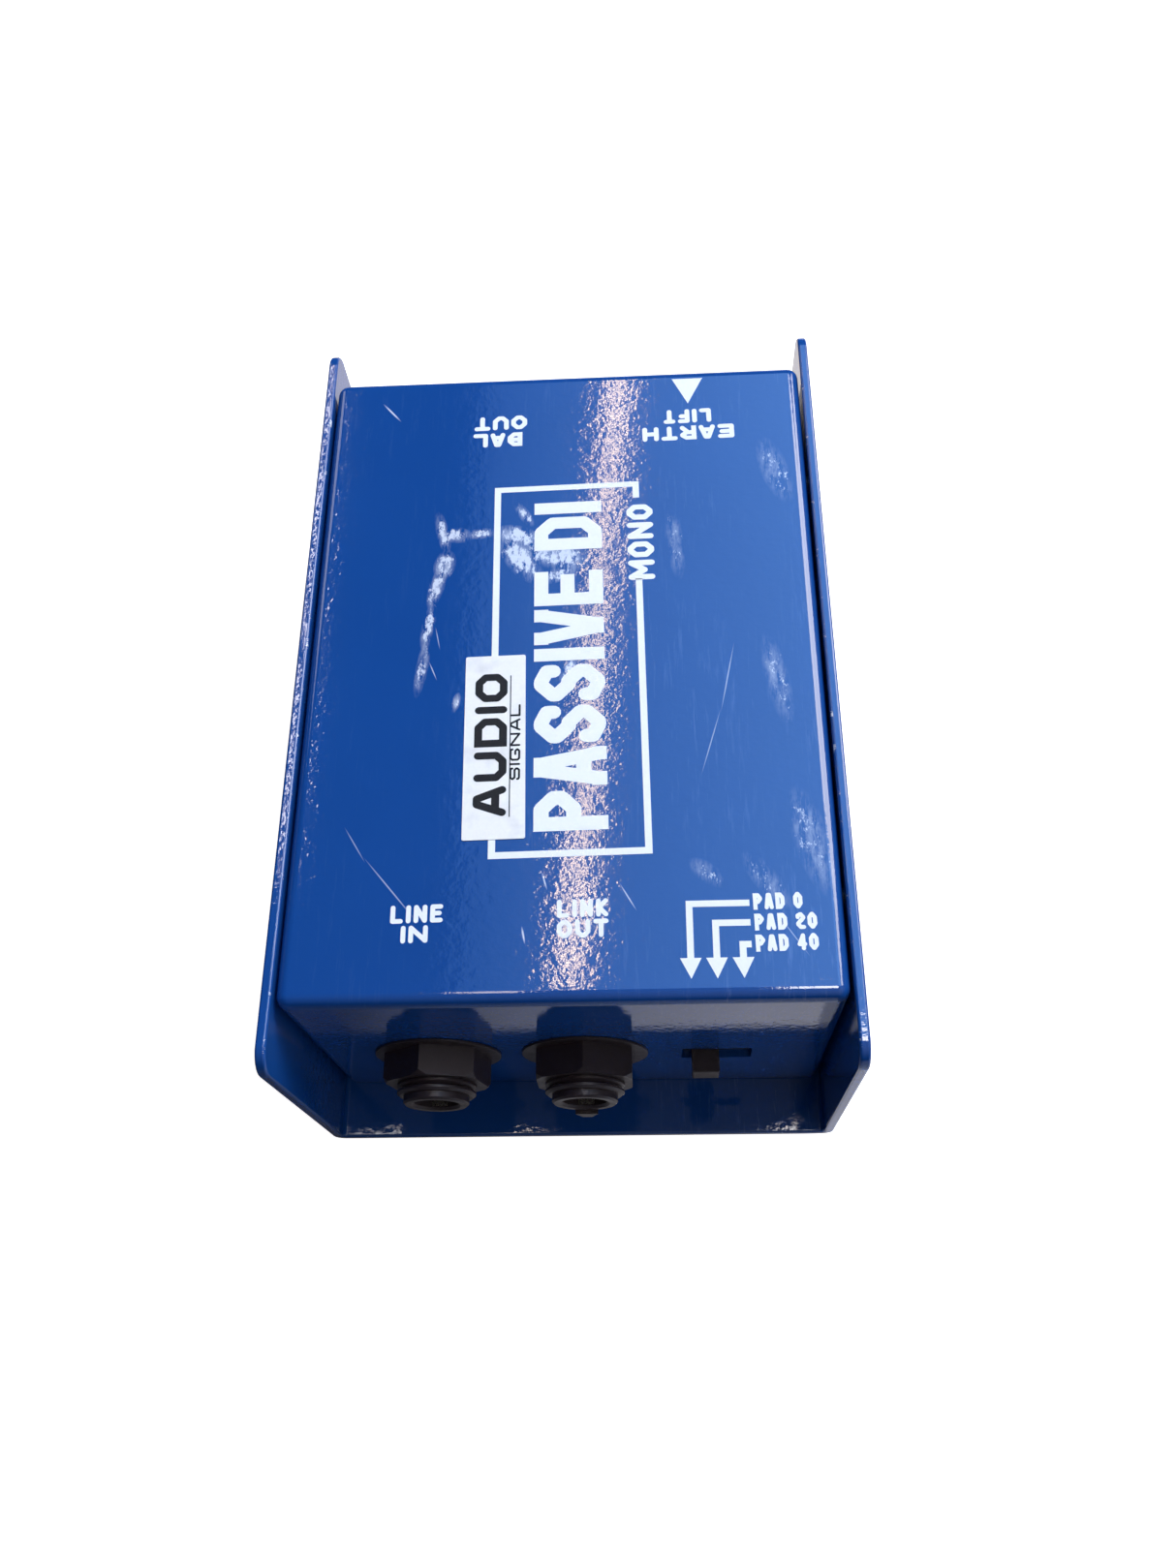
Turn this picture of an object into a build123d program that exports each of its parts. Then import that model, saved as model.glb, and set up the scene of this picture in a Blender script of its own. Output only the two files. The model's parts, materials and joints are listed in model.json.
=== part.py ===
from build123d import *
import math
import os

os.makedirs("parts", exist_ok=True)

# Passive direct injection box: a folded base chassis with guard flanges, a folded cover
# between its walls, two jacks and a three-position pad switch at the front, a three-pin
# connector and a ground lift switch at the rear, and a board with a transformer inside.
#
# Millimetres. +X is right and +Y is back, seen from the jack side; +Z is up.
# The origin is on the surface under the feet, below the middle of the box.

# ---------------------------------------------------------------- driving dimensions
BOX_WIDTH = 80.0
BOX_LENGTH = 123.0
BOX_HEIGHT = 47.6
FOOT_HEIGHT = 1.6
CHASSIS_SHEET = 1.5
CHASSIS_BEND = 2.0
WALL_CORNER = 3.5
COVER_SHEET = 1.2
COVER_BEND = 1.8
FRONT_FACE = -52.9
REAR_FACE = 54.0
COVER_DROP = 0.2
SIDE_GAP = 0.3
FLOOR_GAP = 0.3
SKIRT_DEPTH = 14.0
PAINT_EDGE = 0.4

JACK_X = {"in": -20.2, "out": 1.8}
NUT_TURN = {"in": -19.0, "out": 29.0}
JACK_HEIGHT = 20.85
PAD_X = 21.7
PAD_SLOT_X = 21.4
PAD_HEIGHT = 19.0
PAD_TRAVEL = 4.0
LIFT_X = 20.0
LIFT_TRAVEL = 3.0
XLR_X = -10.0
REAR_HEIGHT = 24.0

BOARD_TOP = 12.4
BOARD_SHEET = 1.6
SOLDER_TAIL = 1.5

# ---------------------------------------------------------------- levels and faces
BASE_Z = FOOT_HEIGHT
FLOOR_Z = BASE_Z + CHASSIS_SHEET
WALL_TOP = BASE_Z + BOX_HEIGHT
COVER_TOP = WALL_TOP - COVER_DROP
COVER_WIDTH = BOX_WIDTH - 2 * (CHASSIS_SHEET + SIDE_GAP)
FRONT_INSIDE = FRONT_FACE + COVER_SHEET
REAR_INSIDE = REAR_FACE - COVER_SHEET
JACK_Z = BASE_Z + JACK_HEIGHT
PAD_Z = BASE_Z + PAD_HEIGHT
REAR_Z = BASE_Z + REAR_HEIGHT
BOARD_Z = BASE_Z + BOARD_TOP
BOARD_UNDER = BOARD_Z - BOARD_SHEET
PIN_END = BOARD_UNDER - SOLDER_TAIL

# ---------------------------------------------------------------- shared hardware
SCREW_R = 1.45
SCREW_HOLE_R = 1.55
FLAT_HEAD_R = 2.7
PAN_HEAD_R = 2.75
PAN_HEAD = 1.8
SMALL_SCREW_R = 1.2
SMALL_HEAD_R = 2.25
SMALL_HEAD = 1.4
HEAD_TAPER = 0.5
RECESS_DEPTH = 0.9
RECESS_LENGTH = 2.6
RECESS_WIDTH = 0.6
COUNTERSINK_PLAY = 0.1
HEAD_END_GAP = 0.2
FLAT_HEAD = CHASSIS_SHEET - HEAD_END_GAP
SCREW_PLAY = 0.05
NUT_PLAY = 0.02

COVER_SCREW_Y = 36.0
COVER_SCREW_Z = COVER_TOP - 8.5
COVER_SCREW_LENGTH = 6.0
STANDOFF_X = 26.0
STANDOFF_Y = -2.0
STANDOFF_FLATS = 5.5
BOARD_SCREW_LENGTH = 5.5
FLOOR_SCREW_LENGTH = 5.5
FOOT_R = 5.0
FOOT_X = 30.0
FOOT_Y = 51.0
FOOT_EDGE = 0.5

FROM_START = (Align.CENTER, Align.CENTER, Align.MIN)


def save(builder, node):
    """Name a finished piece and write it to its own file."""
    builder.part.label = node
    export_step(builder.part, f"parts/{node}.step")


def span(start, step):
    """Low and high limit between a start and start plus a signed step."""
    return (min(start, start + step), max(start, start + step))


def about(middle, width):
    """Low and high limit of a width about its middle."""
    return (middle - width / 2, middle + width / 2)


def upright(y):
    """A sketch plane parallel to the front panel at depth y: it draws in X and Z."""
    return Plane.XZ.offset(-y)


def along(origin, direction):
    """A plane whose normal runs along a screw, pin or bore from its start."""
    return Plane(origin=origin, z_dir=direction)


def block(x, y, z, mode=Mode.ADD):
    """A box between a low and a high limit on each axis."""
    limits = (x, y, z)
    middle = Vector(*[(low + high) / 2 for low, high in limits])
    size = [high - low for low, high in limits]
    with Locations(middle):
        Box(*size, mode=mode)


def rod(start, direction, radius, length, mode=Mode.ADD):
    """A cylinder that starts at a point and runs along a direction."""
    with Locations(along(start, direction)):
        Cylinder(radius, length, align=FROM_START, mode=mode)


def taper(start, direction, start_r, end_r, length, mode=Mode.ADD):
    """A cone from one radius to another that starts at a point."""
    with Locations(along(start, direction)):
        Cone(start_r, end_r, length, align=FROM_START, mode=mode)


def cross_recess(face, inward):
    """The driver recess in a screw head, cut from the middle of its face."""
    with BuildSketch(along(face, inward)) as cross:
        Rectangle(RECESS_LENGTH, RECESS_WIDTH)
        Rectangle(RECESS_WIDTH, RECESS_LENGTH)
    extrude(cross.sketch, amount=RECESS_DEPTH, mode=Mode.SUBTRACT)


def countersink(face, inward):
    """The conical hole through the chassis sheet that takes a countersunk screw."""
    mouth_r = FLAT_HEAD_R + COUNTERSINK_PLAY
    taper(face, inward, mouth_r, SCREW_HOLE_R, CHASSIS_SHEET, Mode.SUBTRACT)


def flat_screw(face, inward, length):
    """Countersunk screw whose head face lies on a surface."""
    taper(face, inward, FLAT_HEAD_R, SCREW_R, FLAT_HEAD)
    rod(face, inward, SCREW_R, length)
    cross_recess(face, inward)


def pan_screw(seat, inward, length, shank_r, head_r, head_h):
    """Round-headed screw: the head stands on the seat and the shank runs inward."""
    outward = -Vector(*inward)
    rod(seat, inward, shank_r, length)
    taper(seat, outward, head_r, head_r - HEAD_TAPER, head_h)
    cross_recess(Vector(*seat) + outward * head_h, inward)


def hex_nut(start, direction, flats, bore_r, thickness):
    """Plain hexagonal nut with a flat downwards."""
    with BuildSketch(along(start, direction)) as hexagon:
        RegularPolygon(flats / 2, 6, major_radius=False, rotation=30)
        Circle(bore_r, mode=Mode.SUBTRACT)
    extrude(hexagon.sketch, amount=thickness)


# ---------------------------------------------------------------- base chassis
COVER_SCREW_SITES = [(side, y) for side in (-1, 1) for y in (-COVER_SCREW_Y, COVER_SCREW_Y)]
STANDOFF_SITES = [(-STANDOFF_X, STANDOFF_Y), (STANDOFF_X, STANDOFF_Y)]
INNER_BEND = 0.7
ON_FLOOR = 0.01

with BuildPart() as base_chassis:
    with BuildSketch(upright(0)):
        with Locations((0, BASE_Z)):
            Rectangle(BOX_WIDTH, BOX_HEIGHT, align=(Align.CENTER, Align.MIN))
    extrude(amount=BOX_LENGTH / 2, both=True)
    long_edges = base_chassis.edges().filter_by(Axis.Y)
    fillet(long_edges.group_by(Axis.Z)[0], CHASSIS_BEND)
    block(
        about(0, BOX_WIDTH - 2 * CHASSIS_SHEET),
        about(0, BOX_LENGTH),
        (FLOOR_Z, WALL_TOP),
        Mode.SUBTRACT,
    )
    long_edges = base_chassis.edges().filter_by(Axis.Y)
    inner_bends = long_edges.filter_by_position(Axis.Z, FLOOR_Z - ON_FLOOR, FLOOR_Z + ON_FLOOR)
    fillet(inner_bends, INNER_BEND)
    wall_corners = base_chassis.edges().filter_by(Axis.X).group_by(Axis.Z)[-1]
    fillet(wall_corners, WALL_CORNER)
    end_rims = base_chassis.faces().filter_by(Axis.Y).edges()
    fillet(end_rims, PAINT_EDGE)
    for side, y in COVER_SCREW_SITES:
        countersink((side * BOX_WIDTH / 2, y, COVER_SCREW_Z), (-side, 0, 0))
    for x, y in STANDOFF_SITES:
        countersink((x, y, BASE_Z), (0, 0, 1))
save(base_chassis, "base_chassis")

# ---------------------------------------------------------------- top cover
JACK_HOLE_R = 6.1
PAD_SLOT = (10.4, 5.4)
LIFT_SLOT = (LIFT_TRAVEL + 5.6, 5.2)
SLOT_CORNER = 0.5
XLR_HOLE_R = 11.9
XLR_SCREWS = [(-9.5, 12.0), (9.5, -12.0)]
LIFT_SCREW_X = 10.2
SMALL_HOLE_R = 1.3
COVER_BOTTOM = FLOOR_Z + FLOOR_GAP
PANEL_RETURN = COVER_BEND + 1.0
TOP_BEND = 1.7

with BuildPart() as top_cover:
    block(about(0, COVER_WIDTH), (FRONT_FACE, REAR_FACE), (COVER_BOTTOM, COVER_TOP))
    fillet(top_cover.edges().filter_by(Axis.Z), COVER_BEND)
    fillet(top_cover.faces().sort_by(Axis.Z)[-1].edges(), TOP_BEND)
    block(
        about(0, COVER_WIDTH - 2 * COVER_SHEET),
        (FRONT_INSIDE, REAR_INSIDE),
        (COVER_BOTTOM, COVER_TOP - COVER_SHEET),
        Mode.SUBTRACT,
    )
    block(
        about(0, COVER_WIDTH),
        (FRONT_FACE + PANEL_RETURN, REAR_FACE - PANEL_RETURN),
        (COVER_BOTTOM, COVER_TOP - SKIRT_DEPTH),
        Mode.SUBTRACT,
    )
    for x in JACK_X.values():
        rod((x, FRONT_FACE, JACK_Z), (0, 1, 0), JACK_HOLE_R, COVER_SHEET, Mode.SUBTRACT)
    with BuildSketch(upright(FRONT_FACE)):
        with Locations((PAD_SLOT_X, PAD_Z)):
            RectangleRounded(*PAD_SLOT, SLOT_CORNER)
    extrude(amount=-COVER_SHEET, mode=Mode.SUBTRACT)
    with BuildSketch(upright(REAR_INSIDE)):
        with Locations((XLR_X, REAR_Z)):
            Circle(XLR_HOLE_R)
        with Locations(*[(XLR_X + x, REAR_Z + z) for x, z in XLR_SCREWS]):
            Circle(SCREW_HOLE_R)
        with Locations((LIFT_X, REAR_Z)):
            RectangleRounded(*LIFT_SLOT, SLOT_CORNER)
        with Locations((LIFT_X - LIFT_SCREW_X, REAR_Z), (LIFT_X + LIFT_SCREW_X, REAR_Z)):
            Circle(SMALL_HOLE_R)
    extrude(amount=-COVER_SHEET, mode=Mode.SUBTRACT)
    for side, y in COVER_SCREW_SITES:
        wall = (side * COVER_WIDTH / 2, y, COVER_SCREW_Z)
        rod(wall, (-side, 0, 0), SCREW_R + SCREW_PLAY, COVER_SHEET, Mode.SUBTRACT)
save(top_cover, "top_cover")

with BuildPart() as cover_screws:
    for side, y in COVER_SCREW_SITES:
        outer = (side * BOX_WIDTH / 2, y, COVER_SCREW_Z)
        flat_screw(outer, (-side, 0, 0), COVER_SCREW_LENGTH)
save(cover_screws, "cover_screws")

# ---------------------------------------------------------------- label on the cover
LABEL_CENTRE = (-9.7, -14.7)
LABEL_SIZE = (8.9, 29.6)
LABEL_SHEET = 0.12
LABEL_CORNER = 0.3
PRINT_TURN = 1.0

with BuildPart() as cover_label:
    with BuildSketch(Plane.XY.offset(COVER_TOP)):
        with Locations(LABEL_CENTRE):
            RectangleRounded(*LABEL_SIZE, LABEL_CORNER, rotation=PRINT_TURN)
    extrude(amount=LABEL_SHEET)
save(cover_label, "cover_label")

# ---------------------------------------------------------------- feet
FOOT_SITES = {
    "front_left": (-FOOT_X, -FOOT_Y),
    "front_right": (FOOT_X, -FOOT_Y),
    "rear_left": (-FOOT_X, FOOT_Y),
    "rear_right": (FOOT_X, FOOT_Y),
}
for place, site in FOOT_SITES.items():
    with BuildPart() as foot:
        with BuildSketch(Plane.XY):
            with Locations(site):
                Circle(FOOT_R)
        extrude(amount=FOOT_HEIGHT)
        fillet(foot.faces().sort_by(Axis.Z)[0].edges(), FOOT_EDGE)
    save(foot, f"foot_{place}")

# ---------------------------------------------------------------- jacks
NOSE_TIP = -60.6
NOSE_R = 4.85
NOSE_RING = 1.2
NOSE_EDGE = 0.3
BORE_R = 3.3
BORE_MOUTH = 0.4
BUSH_OVERLAP = 0.1
BORE_END = -47.0
THREAD_R = 5.85
THREAD_ROOT = 5.4
THREAD_PITCH = 1.0
THREAD_COUNT = 7
THREAD_FLANK = 0.35
THREAD_END = NOSE_TIP + NOSE_RING
HOUSING_WIDTH = 16.0
HOUSING_REAR = -27.4
HOUSING_UP = 7.2
CHAMBER_WIDTH = 11.0
CHAMBER_REAR = -29.0
CHAMBER_UP = 6.0
CHAMBER_DOWN = 4.6
WASHER_R = 9.4
WASHER_HOLE_R = THREAD_R + 0.2
WASHER = 0.4
WASHER_EDGE = 0.12
NUT_FLATS = 14.0
NUT = 4.35
NUT_CORNER_R = NUT_FLATS / 2 / math.cos(math.radians(30))
NUT_CHAMFER = 0.55
NUT_FLARE = 3.0
TAB_WIDTH = 3.4
TAB_END_WIDTH = 1.36
TAB_DROP = 2.2
TAB_FRONT = -61.2

STRIP = 0.4
STRIP_PLAY = 0.05
STRIP_SETBACK = 0.6
STRIP_FRONT = NOSE_TIP + STRIP_SETBACK
SLEEVE_WIDTH = 2.4
SLEEVE_LEG = 0.8
LEAF_WIDTH = 3.0
LEAF_SHEET = 0.3
LEAF_BEND = 0.8
LEAF_POINTS = [(-46.3, 4.8), (-38.0, 4.3), (-33.8, 2.1), (-31.2, 3.8)]
CLIP_Y = -45.3
CLIP_DEPTH = 2.4
LEG_X = 5.1
LEG_DEPTH = 0.8
LEG_SHOULDER = BOARD_Z + 0.8


def bush_profile(z):
    """Half section of a jack's nose and thread above its axis, as (Y, Z) points."""
    inside = z + BORE_R - BUSH_OVERLAP
    points = [
        (FRONT_INSIDE, inside),
        (NOSE_TIP, inside),
        (NOSE_TIP, z + NOSE_R - NOSE_EDGE),
        (NOSE_TIP + NOSE_EDGE, z + NOSE_R),
        (THREAD_END, z + NOSE_R),
    ]
    for turn in range(THREAD_COUNT):
        start = THREAD_END + turn * THREAD_PITCH
        points.append((start, z + THREAD_ROOT))
        points.append((start + THREAD_FLANK, z + THREAD_R))
        points.append((start + THREAD_PITCH - THREAD_FLANK, z + THREAD_R))
    points.append((FRONT_INSIDE, z + THREAD_ROOT))
    return points


def jack_housing(x, z):
    """Moulded body: threaded nose, bore, contact chamber and slots for the contacts."""
    with BuildSketch(Plane.YZ.offset(x)) as half_section:
        with BuildLine():
            Polyline(*bush_profile(z), close=True)
        make_face()
    revolve(half_section.sketch, axis=Axis((x, 0, z), (0, 1, 0)))
    block(about(x, HOUSING_WIDTH), (FRONT_INSIDE, HOUSING_REAR), (BOARD_Z, z + HOUSING_UP))
    rod((x, NOSE_TIP, z), (0, 1, 0), BORE_R, BORE_END - NOSE_TIP, Mode.SUBTRACT)
    mouth = (x, NOSE_TIP, z)
    taper(mouth, (0, 1, 0), BORE_R + BORE_MOUTH, BORE_R, BORE_MOUTH, Mode.SUBTRACT)
    block(
        about(x, CHAMBER_WIDTH),
        (BORE_END, CHAMBER_REAR),
        (z - CHAMBER_DOWN, z + CHAMBER_UP),
        Mode.SUBTRACT,
    )
    block(
        about(x, SLEEVE_WIDTH + 2 * STRIP_PLAY),
        (STRIP_FRONT - STRIP_PLAY, BORE_END),
        (z - BORE_R - STRIP - STRIP_PLAY, z),
        Mode.SUBTRACT,
    )
    block(
        about(x, SLEEVE_LEG + 4 * STRIP_PLAY),
        (BORE_END - 2 * STRIP_PLAY, BORE_END + STRIP + 2 * STRIP_PLAY),
        (BOARD_Z, z),
        Mode.SUBTRACT,
    )
    block(
        about(x - LEG_X, STRIP + 2 * STRIP_PLAY),
        about(CLIP_Y, CLIP_DEPTH + 4 * STRIP_PLAY),
        (BOARD_Z, z),
        Mode.SUBTRACT,
    )


def nose_tab(x, z):
    """Small moulded tab under the mouth of a jack, tapering downwards."""
    top = z - NOSE_R + NOSE_EDGE
    with BuildSketch(upright(TAB_FRONT)) as wedge:
        with BuildLine():
            Polyline(
                (x - TAB_WIDTH / 2, top),
                (x + TAB_WIDTH / 2, top),
                (x + TAB_END_WIDTH / 2, top - TAB_DROP),
                (x - TAB_END_WIDTH / 2, top - TAB_DROP),
                close=True,
            )
        make_face()
    extrude(wedge.sketch, amount=TAB_FRONT - THREAD_END)


def sleeve_contact(x, z):
    """Strip let into the floor of the bore, with a leg down to the board."""
    top = z - BORE_R
    block(about(x, SLEEVE_WIDTH), (STRIP_FRONT, BORE_END + STRIP), (top - STRIP, top))
    block(about(x, SLEEVE_LEG), (BORE_END, BORE_END + STRIP), (PIN_END, top))


def tip_terminal(x, z):
    """Clip that holds the tip spring's fixed end, with a leg down to the board."""
    top = z + CHAMBER_UP
    leg = about(x - LEG_X, STRIP)
    block((leg[0], x + LEAF_WIDTH / 2), about(CLIP_Y, CLIP_DEPTH), (top - STRIP, top))
    block(leg, about(CLIP_Y, CLIP_DEPTH), (LEG_SHOULDER, top))
    block(leg, about(CLIP_Y, LEG_DEPTH), (PIN_END, LEG_SHOULDER))


def tip_spring(x, z):
    """Leaf that presses on the plug's tip and bends up as the plug goes in."""
    with BuildSketch(Plane.YZ.offset(x)) as leaf:
        with BuildLine():
            FilletPolyline(*[(y, z + rise) for y, rise in LEAF_POINTS], radius=LEAF_BEND)
        trace(line_width=LEAF_SHEET)
    extrude(leaf.sketch, amount=LEAF_WIDTH / 2, both=True)


def panel_washer(x, z):
    """Thin washer between the panel and the nut."""
    with BuildSketch(upright(FRONT_FACE)) as ring:
        with Locations((x, z)):
            Circle(WASHER_R)
            Circle(WASHER_HOLE_R, mode=Mode.SUBTRACT)
    extrude(ring.sketch, amount=WASHER)


def jack_nut(x, z, turn):
    """Hexagonal nut with its front corners chamfered round."""
    back = FRONT_FACE - WASHER
    with BuildSketch(upright(back)) as hexagon:
        with Locations((x, z)):
            RegularPolygon(NUT_FLATS / 2, 6, major_radius=False, rotation=turn)
    extrude(hexagon.sketch, amount=NUT)
    front = (x, back - NUT, z)
    small_r = NUT_CORNER_R - NUT_CHAMFER
    taper(front, (0, 1, 0), small_r, NUT_CORNER_R + NUT_FLARE, NUT, Mode.INTERSECT)
    rod((x, back, z), (0, -1, 0), THREAD_R + NUT_PLAY, NUT, Mode.SUBTRACT)


for name, x in JACK_X.items():
    with BuildPart() as housing:
        jack_housing(x, JACK_Z)
        if name == "out":
            nose_tab(x, JACK_Z)
    save(housing, f"jack_{name}_housing")

    with BuildPart() as sleeve:
        sleeve_contact(x, JACK_Z)
    save(sleeve, f"jack_{name}_sleeve_contact")

    with BuildPart() as terminal:
        tip_terminal(x, JACK_Z)
    save(terminal, f"jack_{name}_tip_terminal")

    with BuildPart() as spring:
        tip_spring(x, JACK_Z)
    save(spring, f"jack_{name}_tip_spring")

    with BuildPart() as washer:
        panel_washer(x, JACK_Z)
        washer_rim = washer.edges().filter_by(GeomType.CIRCLE).sort_by(SortBy.RADIUS)[-2:]
        fillet(washer_rim, WASHER_EDGE)
    save(washer, f"jack_{name}_washer")

    with BuildPart() as nut:
        jack_nut(x, JACK_Z, NUT_TURN[name])
    save(nut, f"jack_{name}_nut")

# ---------------------------------------------------------------- circuit board
BOARD_X = (-31.0, 32.5)
BOARD_Y = (-50.6, 5.0)
BOARD_CORNER = 1.0
WIRE_PAD_Y = 1.8
SIGNAL_PAD_X = (-13.0, -10.0, -7.0)
LIFT_PAD_X = (16.0, 20.0)
LEAD_R = 0.3
PIN_HOLE_R = 0.75
SLOT_PLAY = 0.5

CORE_X = 0.0
CORE_Y = -12.0
CORE_WIDTH = 26.0
CORE_DEPTH = 9.6
CORE_HEIGHT = 21.6
CORE_LEG = 8.0
CORE_YOKE = 4.0
CORE_GAP = 0.6
CLAMP_SHEET = 0.5
CLAMP_TAIL = 3.0
TRANSFORMER_PIN_X = (-5.0, 0.0, 5.0)
TRANSFORMER_PIN_Y = 8.2

SWITCH_PIN_PITCH = 2.0
SWITCH_ROWS = (-1.5, 1.5)
PAD_DROP_Y = (-42.6, -41.2)
PAD_PIN_X = [PAD_X + (column - 1.5) * SWITCH_PIN_PITCH for column in range(4)]

RESISTOR_SITES = [(22.0, -30.0), (22.0, -26.5), (22.0, -23.0), (-22.0, -22.0)]
RESISTOR_SPAN = 10.0
RESISTOR_BODY = 6.2
RESISTOR_R = 1.15
RESISTOR_RISE = 1.3
CAPACITOR_SITE = (-22.0, -14.0)
CAPACITOR_SPAN = 5.0
CAPACITOR_SIZE = (7.2, 3.0, 6.6)
CAPACITOR_RISE = 0.4
CAPACITOR_CORNER = 0.6

transformer_holes = [
    (CORE_X + x, CORE_Y + side * TRANSFORMER_PIN_Y)
    for x in TRANSFORMER_PIN_X
    for side in (-1, 1)
]
clamp_x = (CORE_WIDTH + CLAMP_SHEET) / 2
clamp_holes = [(CORE_X + side * clamp_x, CORE_Y) for side in (-1, 1)]
switch_holes = [(x, y) for x in PAD_PIN_X for y in PAD_DROP_Y]
lead_holes = [(x + side * RESISTOR_SPAN / 2, y) for x, y in RESISTOR_SITES for side in (-1, 1)]
capacitor_x, capacitor_y = CAPACITOR_SITE
lead_holes += [(capacitor_x + side * CAPACITOR_SPAN / 2, capacitor_y) for side in (-1, 1)]

with BuildPart() as main_board:
    block(BOARD_X, BOARD_Y, (BOARD_UNDER, BOARD_Z))
    fillet(main_board.edges().filter_by(Axis.Z), BOARD_CORNER)
    with BuildSketch(Plane.XY.offset(BOARD_Z)):
        with Locations(*transformer_holes, *switch_holes, *lead_holes):
            Circle(PIN_HOLE_R)
        with Locations(*clamp_holes):
            Rectangle(CLAMP_SHEET + SLOT_PLAY, CLAMP_TAIL + SLOT_PLAY)
        with Locations(*STANDOFF_SITES):
            Circle(SCREW_HOLE_R)
        for x in JACK_X.values():
            with Locations((x, BORE_END + STRIP / 2)):
                Rectangle(SLEEVE_LEG + SLOT_PLAY, STRIP + SLOT_PLAY)
            with Locations((x - LEG_X, CLIP_Y)):
                Rectangle(STRIP + SLOT_PLAY, LEG_DEPTH + SLOT_PLAY)
    extrude(amount=-BOARD_SHEET, mode=Mode.SUBTRACT)
save(main_board, "main_board")

with BuildPart() as board_standoffs:
    for x, y in STANDOFF_SITES:
        seat = (x, y, FLOOR_Z)
        hex_nut(seat, (0, 0, 1), STANDOFF_FLATS, SCREW_R + SCREW_PLAY, BOARD_UNDER - FLOOR_Z)
save(board_standoffs, "board_standoffs")

with BuildPart() as board_screws:
    for x, y in STANDOFF_SITES:
        seat = (x, y, BOARD_Z)
        pan_screw(seat, (0, 0, -1), BOARD_SCREW_LENGTH, SCREW_R, PAN_HEAD_R, PAN_HEAD)
save(board_screws, "board_screws")

with BuildPart() as floor_screws:
    for x, y in STANDOFF_SITES:
        flat_screw((x, y, BASE_Z), (0, 0, 1), FLOOR_SCREW_LENGTH)
save(floor_screws, "floor_screws")

with BuildPart() as attenuator_resistors:
    lead_z = BOARD_Z + RESISTOR_RISE
    for x, y in RESISTOR_SITES:
        rod((x - RESISTOR_BODY / 2, y, lead_z), (1, 0, 0), RESISTOR_R, RESISTOR_BODY)
        rod((x - RESISTOR_SPAN / 2, y, lead_z), (1, 0, 0), LEAD_R, RESISTOR_SPAN)
        for end in about(x, RESISTOR_SPAN):
            rod((end, y, PIN_END), (0, 0, 1), LEAD_R, lead_z + LEAD_R - PIN_END)
save(attenuator_resistors, "attenuator_resistors")

with BuildPart() as filter_capacitor:
    width, depth, height = CAPACITOR_SIZE
    underside = BOARD_Z + CAPACITOR_RISE
    block(
        about(capacitor_x, width),
        about(capacitor_y, depth),
        (underside, underside + height),
    )
    fillet(filter_capacitor.edges().filter_by(Axis.Z), CAPACITOR_CORNER)
    for end in about(capacitor_x, CAPACITOR_SPAN):
        rod((end, capacitor_y, PIN_END), (0, 0, 1), LEAD_R, underside - PIN_END)
save(filter_capacitor, "filter_capacitor")

# ---------------------------------------------------------------- transformer
BOBBIN_WALL = 0.8
BOBBIN_FIT = 0.15
BOBBIN_END = 0.1
BOBBIN_FOOT_GAP = 0.8
FLANGE_GAP = 0.2
FLANGE_BEYOND_PINS = 1.6
WINDING_INSET = (0.3, 0.8)
WINDING_CORNER = 2.0
CLAMP_INSET = 1.0
TRANSFORMER_PIN_R = 0.4
PIN_GRIP = 3.0

core_bottom = BOARD_Z + CORE_GAP
core_top = core_bottom + CORE_HEIGHT
window_bottom = core_bottom + CORE_YOKE
window_top = core_top - CORE_YOKE
window_width = (CORE_WIDTH - 2 * CORE_LEG) / 2
window_x = (CORE_LEG + window_width) / 2

with BuildPart() as transformer_core:
    block(about(CORE_X, CORE_WIDTH), about(CORE_Y, CORE_DEPTH), (core_bottom, core_top))
    for side in (-1, 1):
        block(
            about(CORE_X + side * window_x, window_width),
            about(CORE_Y, CORE_DEPTH),
            (window_bottom, window_top),
            Mode.SUBTRACT,
        )
save(transformer_core, "transformer_core")

hole_width = CORE_LEG + 2 * BOBBIN_FIT
hole_depth = CORE_DEPTH + 2 * BOBBIN_FIT
tube_width = hole_width + 2 * BOBBIN_WALL
tube_depth = hole_depth + 2 * BOBBIN_WALL
flange_width = CORE_LEG + 2 * (window_width - FLANGE_GAP)
flange_depth = 2 * (TRANSFORMER_PIN_Y + FLANGE_BEYOND_PINS)
foot_start = CORE_DEPTH / 2 + BOBBIN_FOOT_GAP
bobbin_bottom = window_bottom + BOBBIN_END
bobbin_top = window_top - BOBBIN_END

with BuildPart() as transformer_bobbin:
    block(about(CORE_X, tube_width), about(CORE_Y, tube_depth), (bobbin_bottom, bobbin_top))
    for bottom in (bobbin_bottom, bobbin_top - BOBBIN_WALL):
        block(
            about(CORE_X, flange_width),
            about(CORE_Y, flange_depth),
            (bottom, bottom + BOBBIN_WALL),
        )
    for side in (-1, 1):
        block(
            about(CORE_X, flange_width),
            span(CORE_Y + side * foot_start, side * (flange_depth / 2 - foot_start)),
            (BOARD_Z, bobbin_bottom + BOBBIN_WALL),
        )
    block(
        about(CORE_X, hole_width),
        about(CORE_Y, hole_depth),
        (bobbin_bottom, bobbin_top),
        Mode.SUBTRACT,
    )
    for x, y in transformer_holes:
        rod((x, y, BOARD_Z), (0, 0, 1), TRANSFORMER_PIN_R, PIN_GRIP, Mode.SUBTRACT)
save(transformer_bobbin, "transformer_bobbin")

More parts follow.
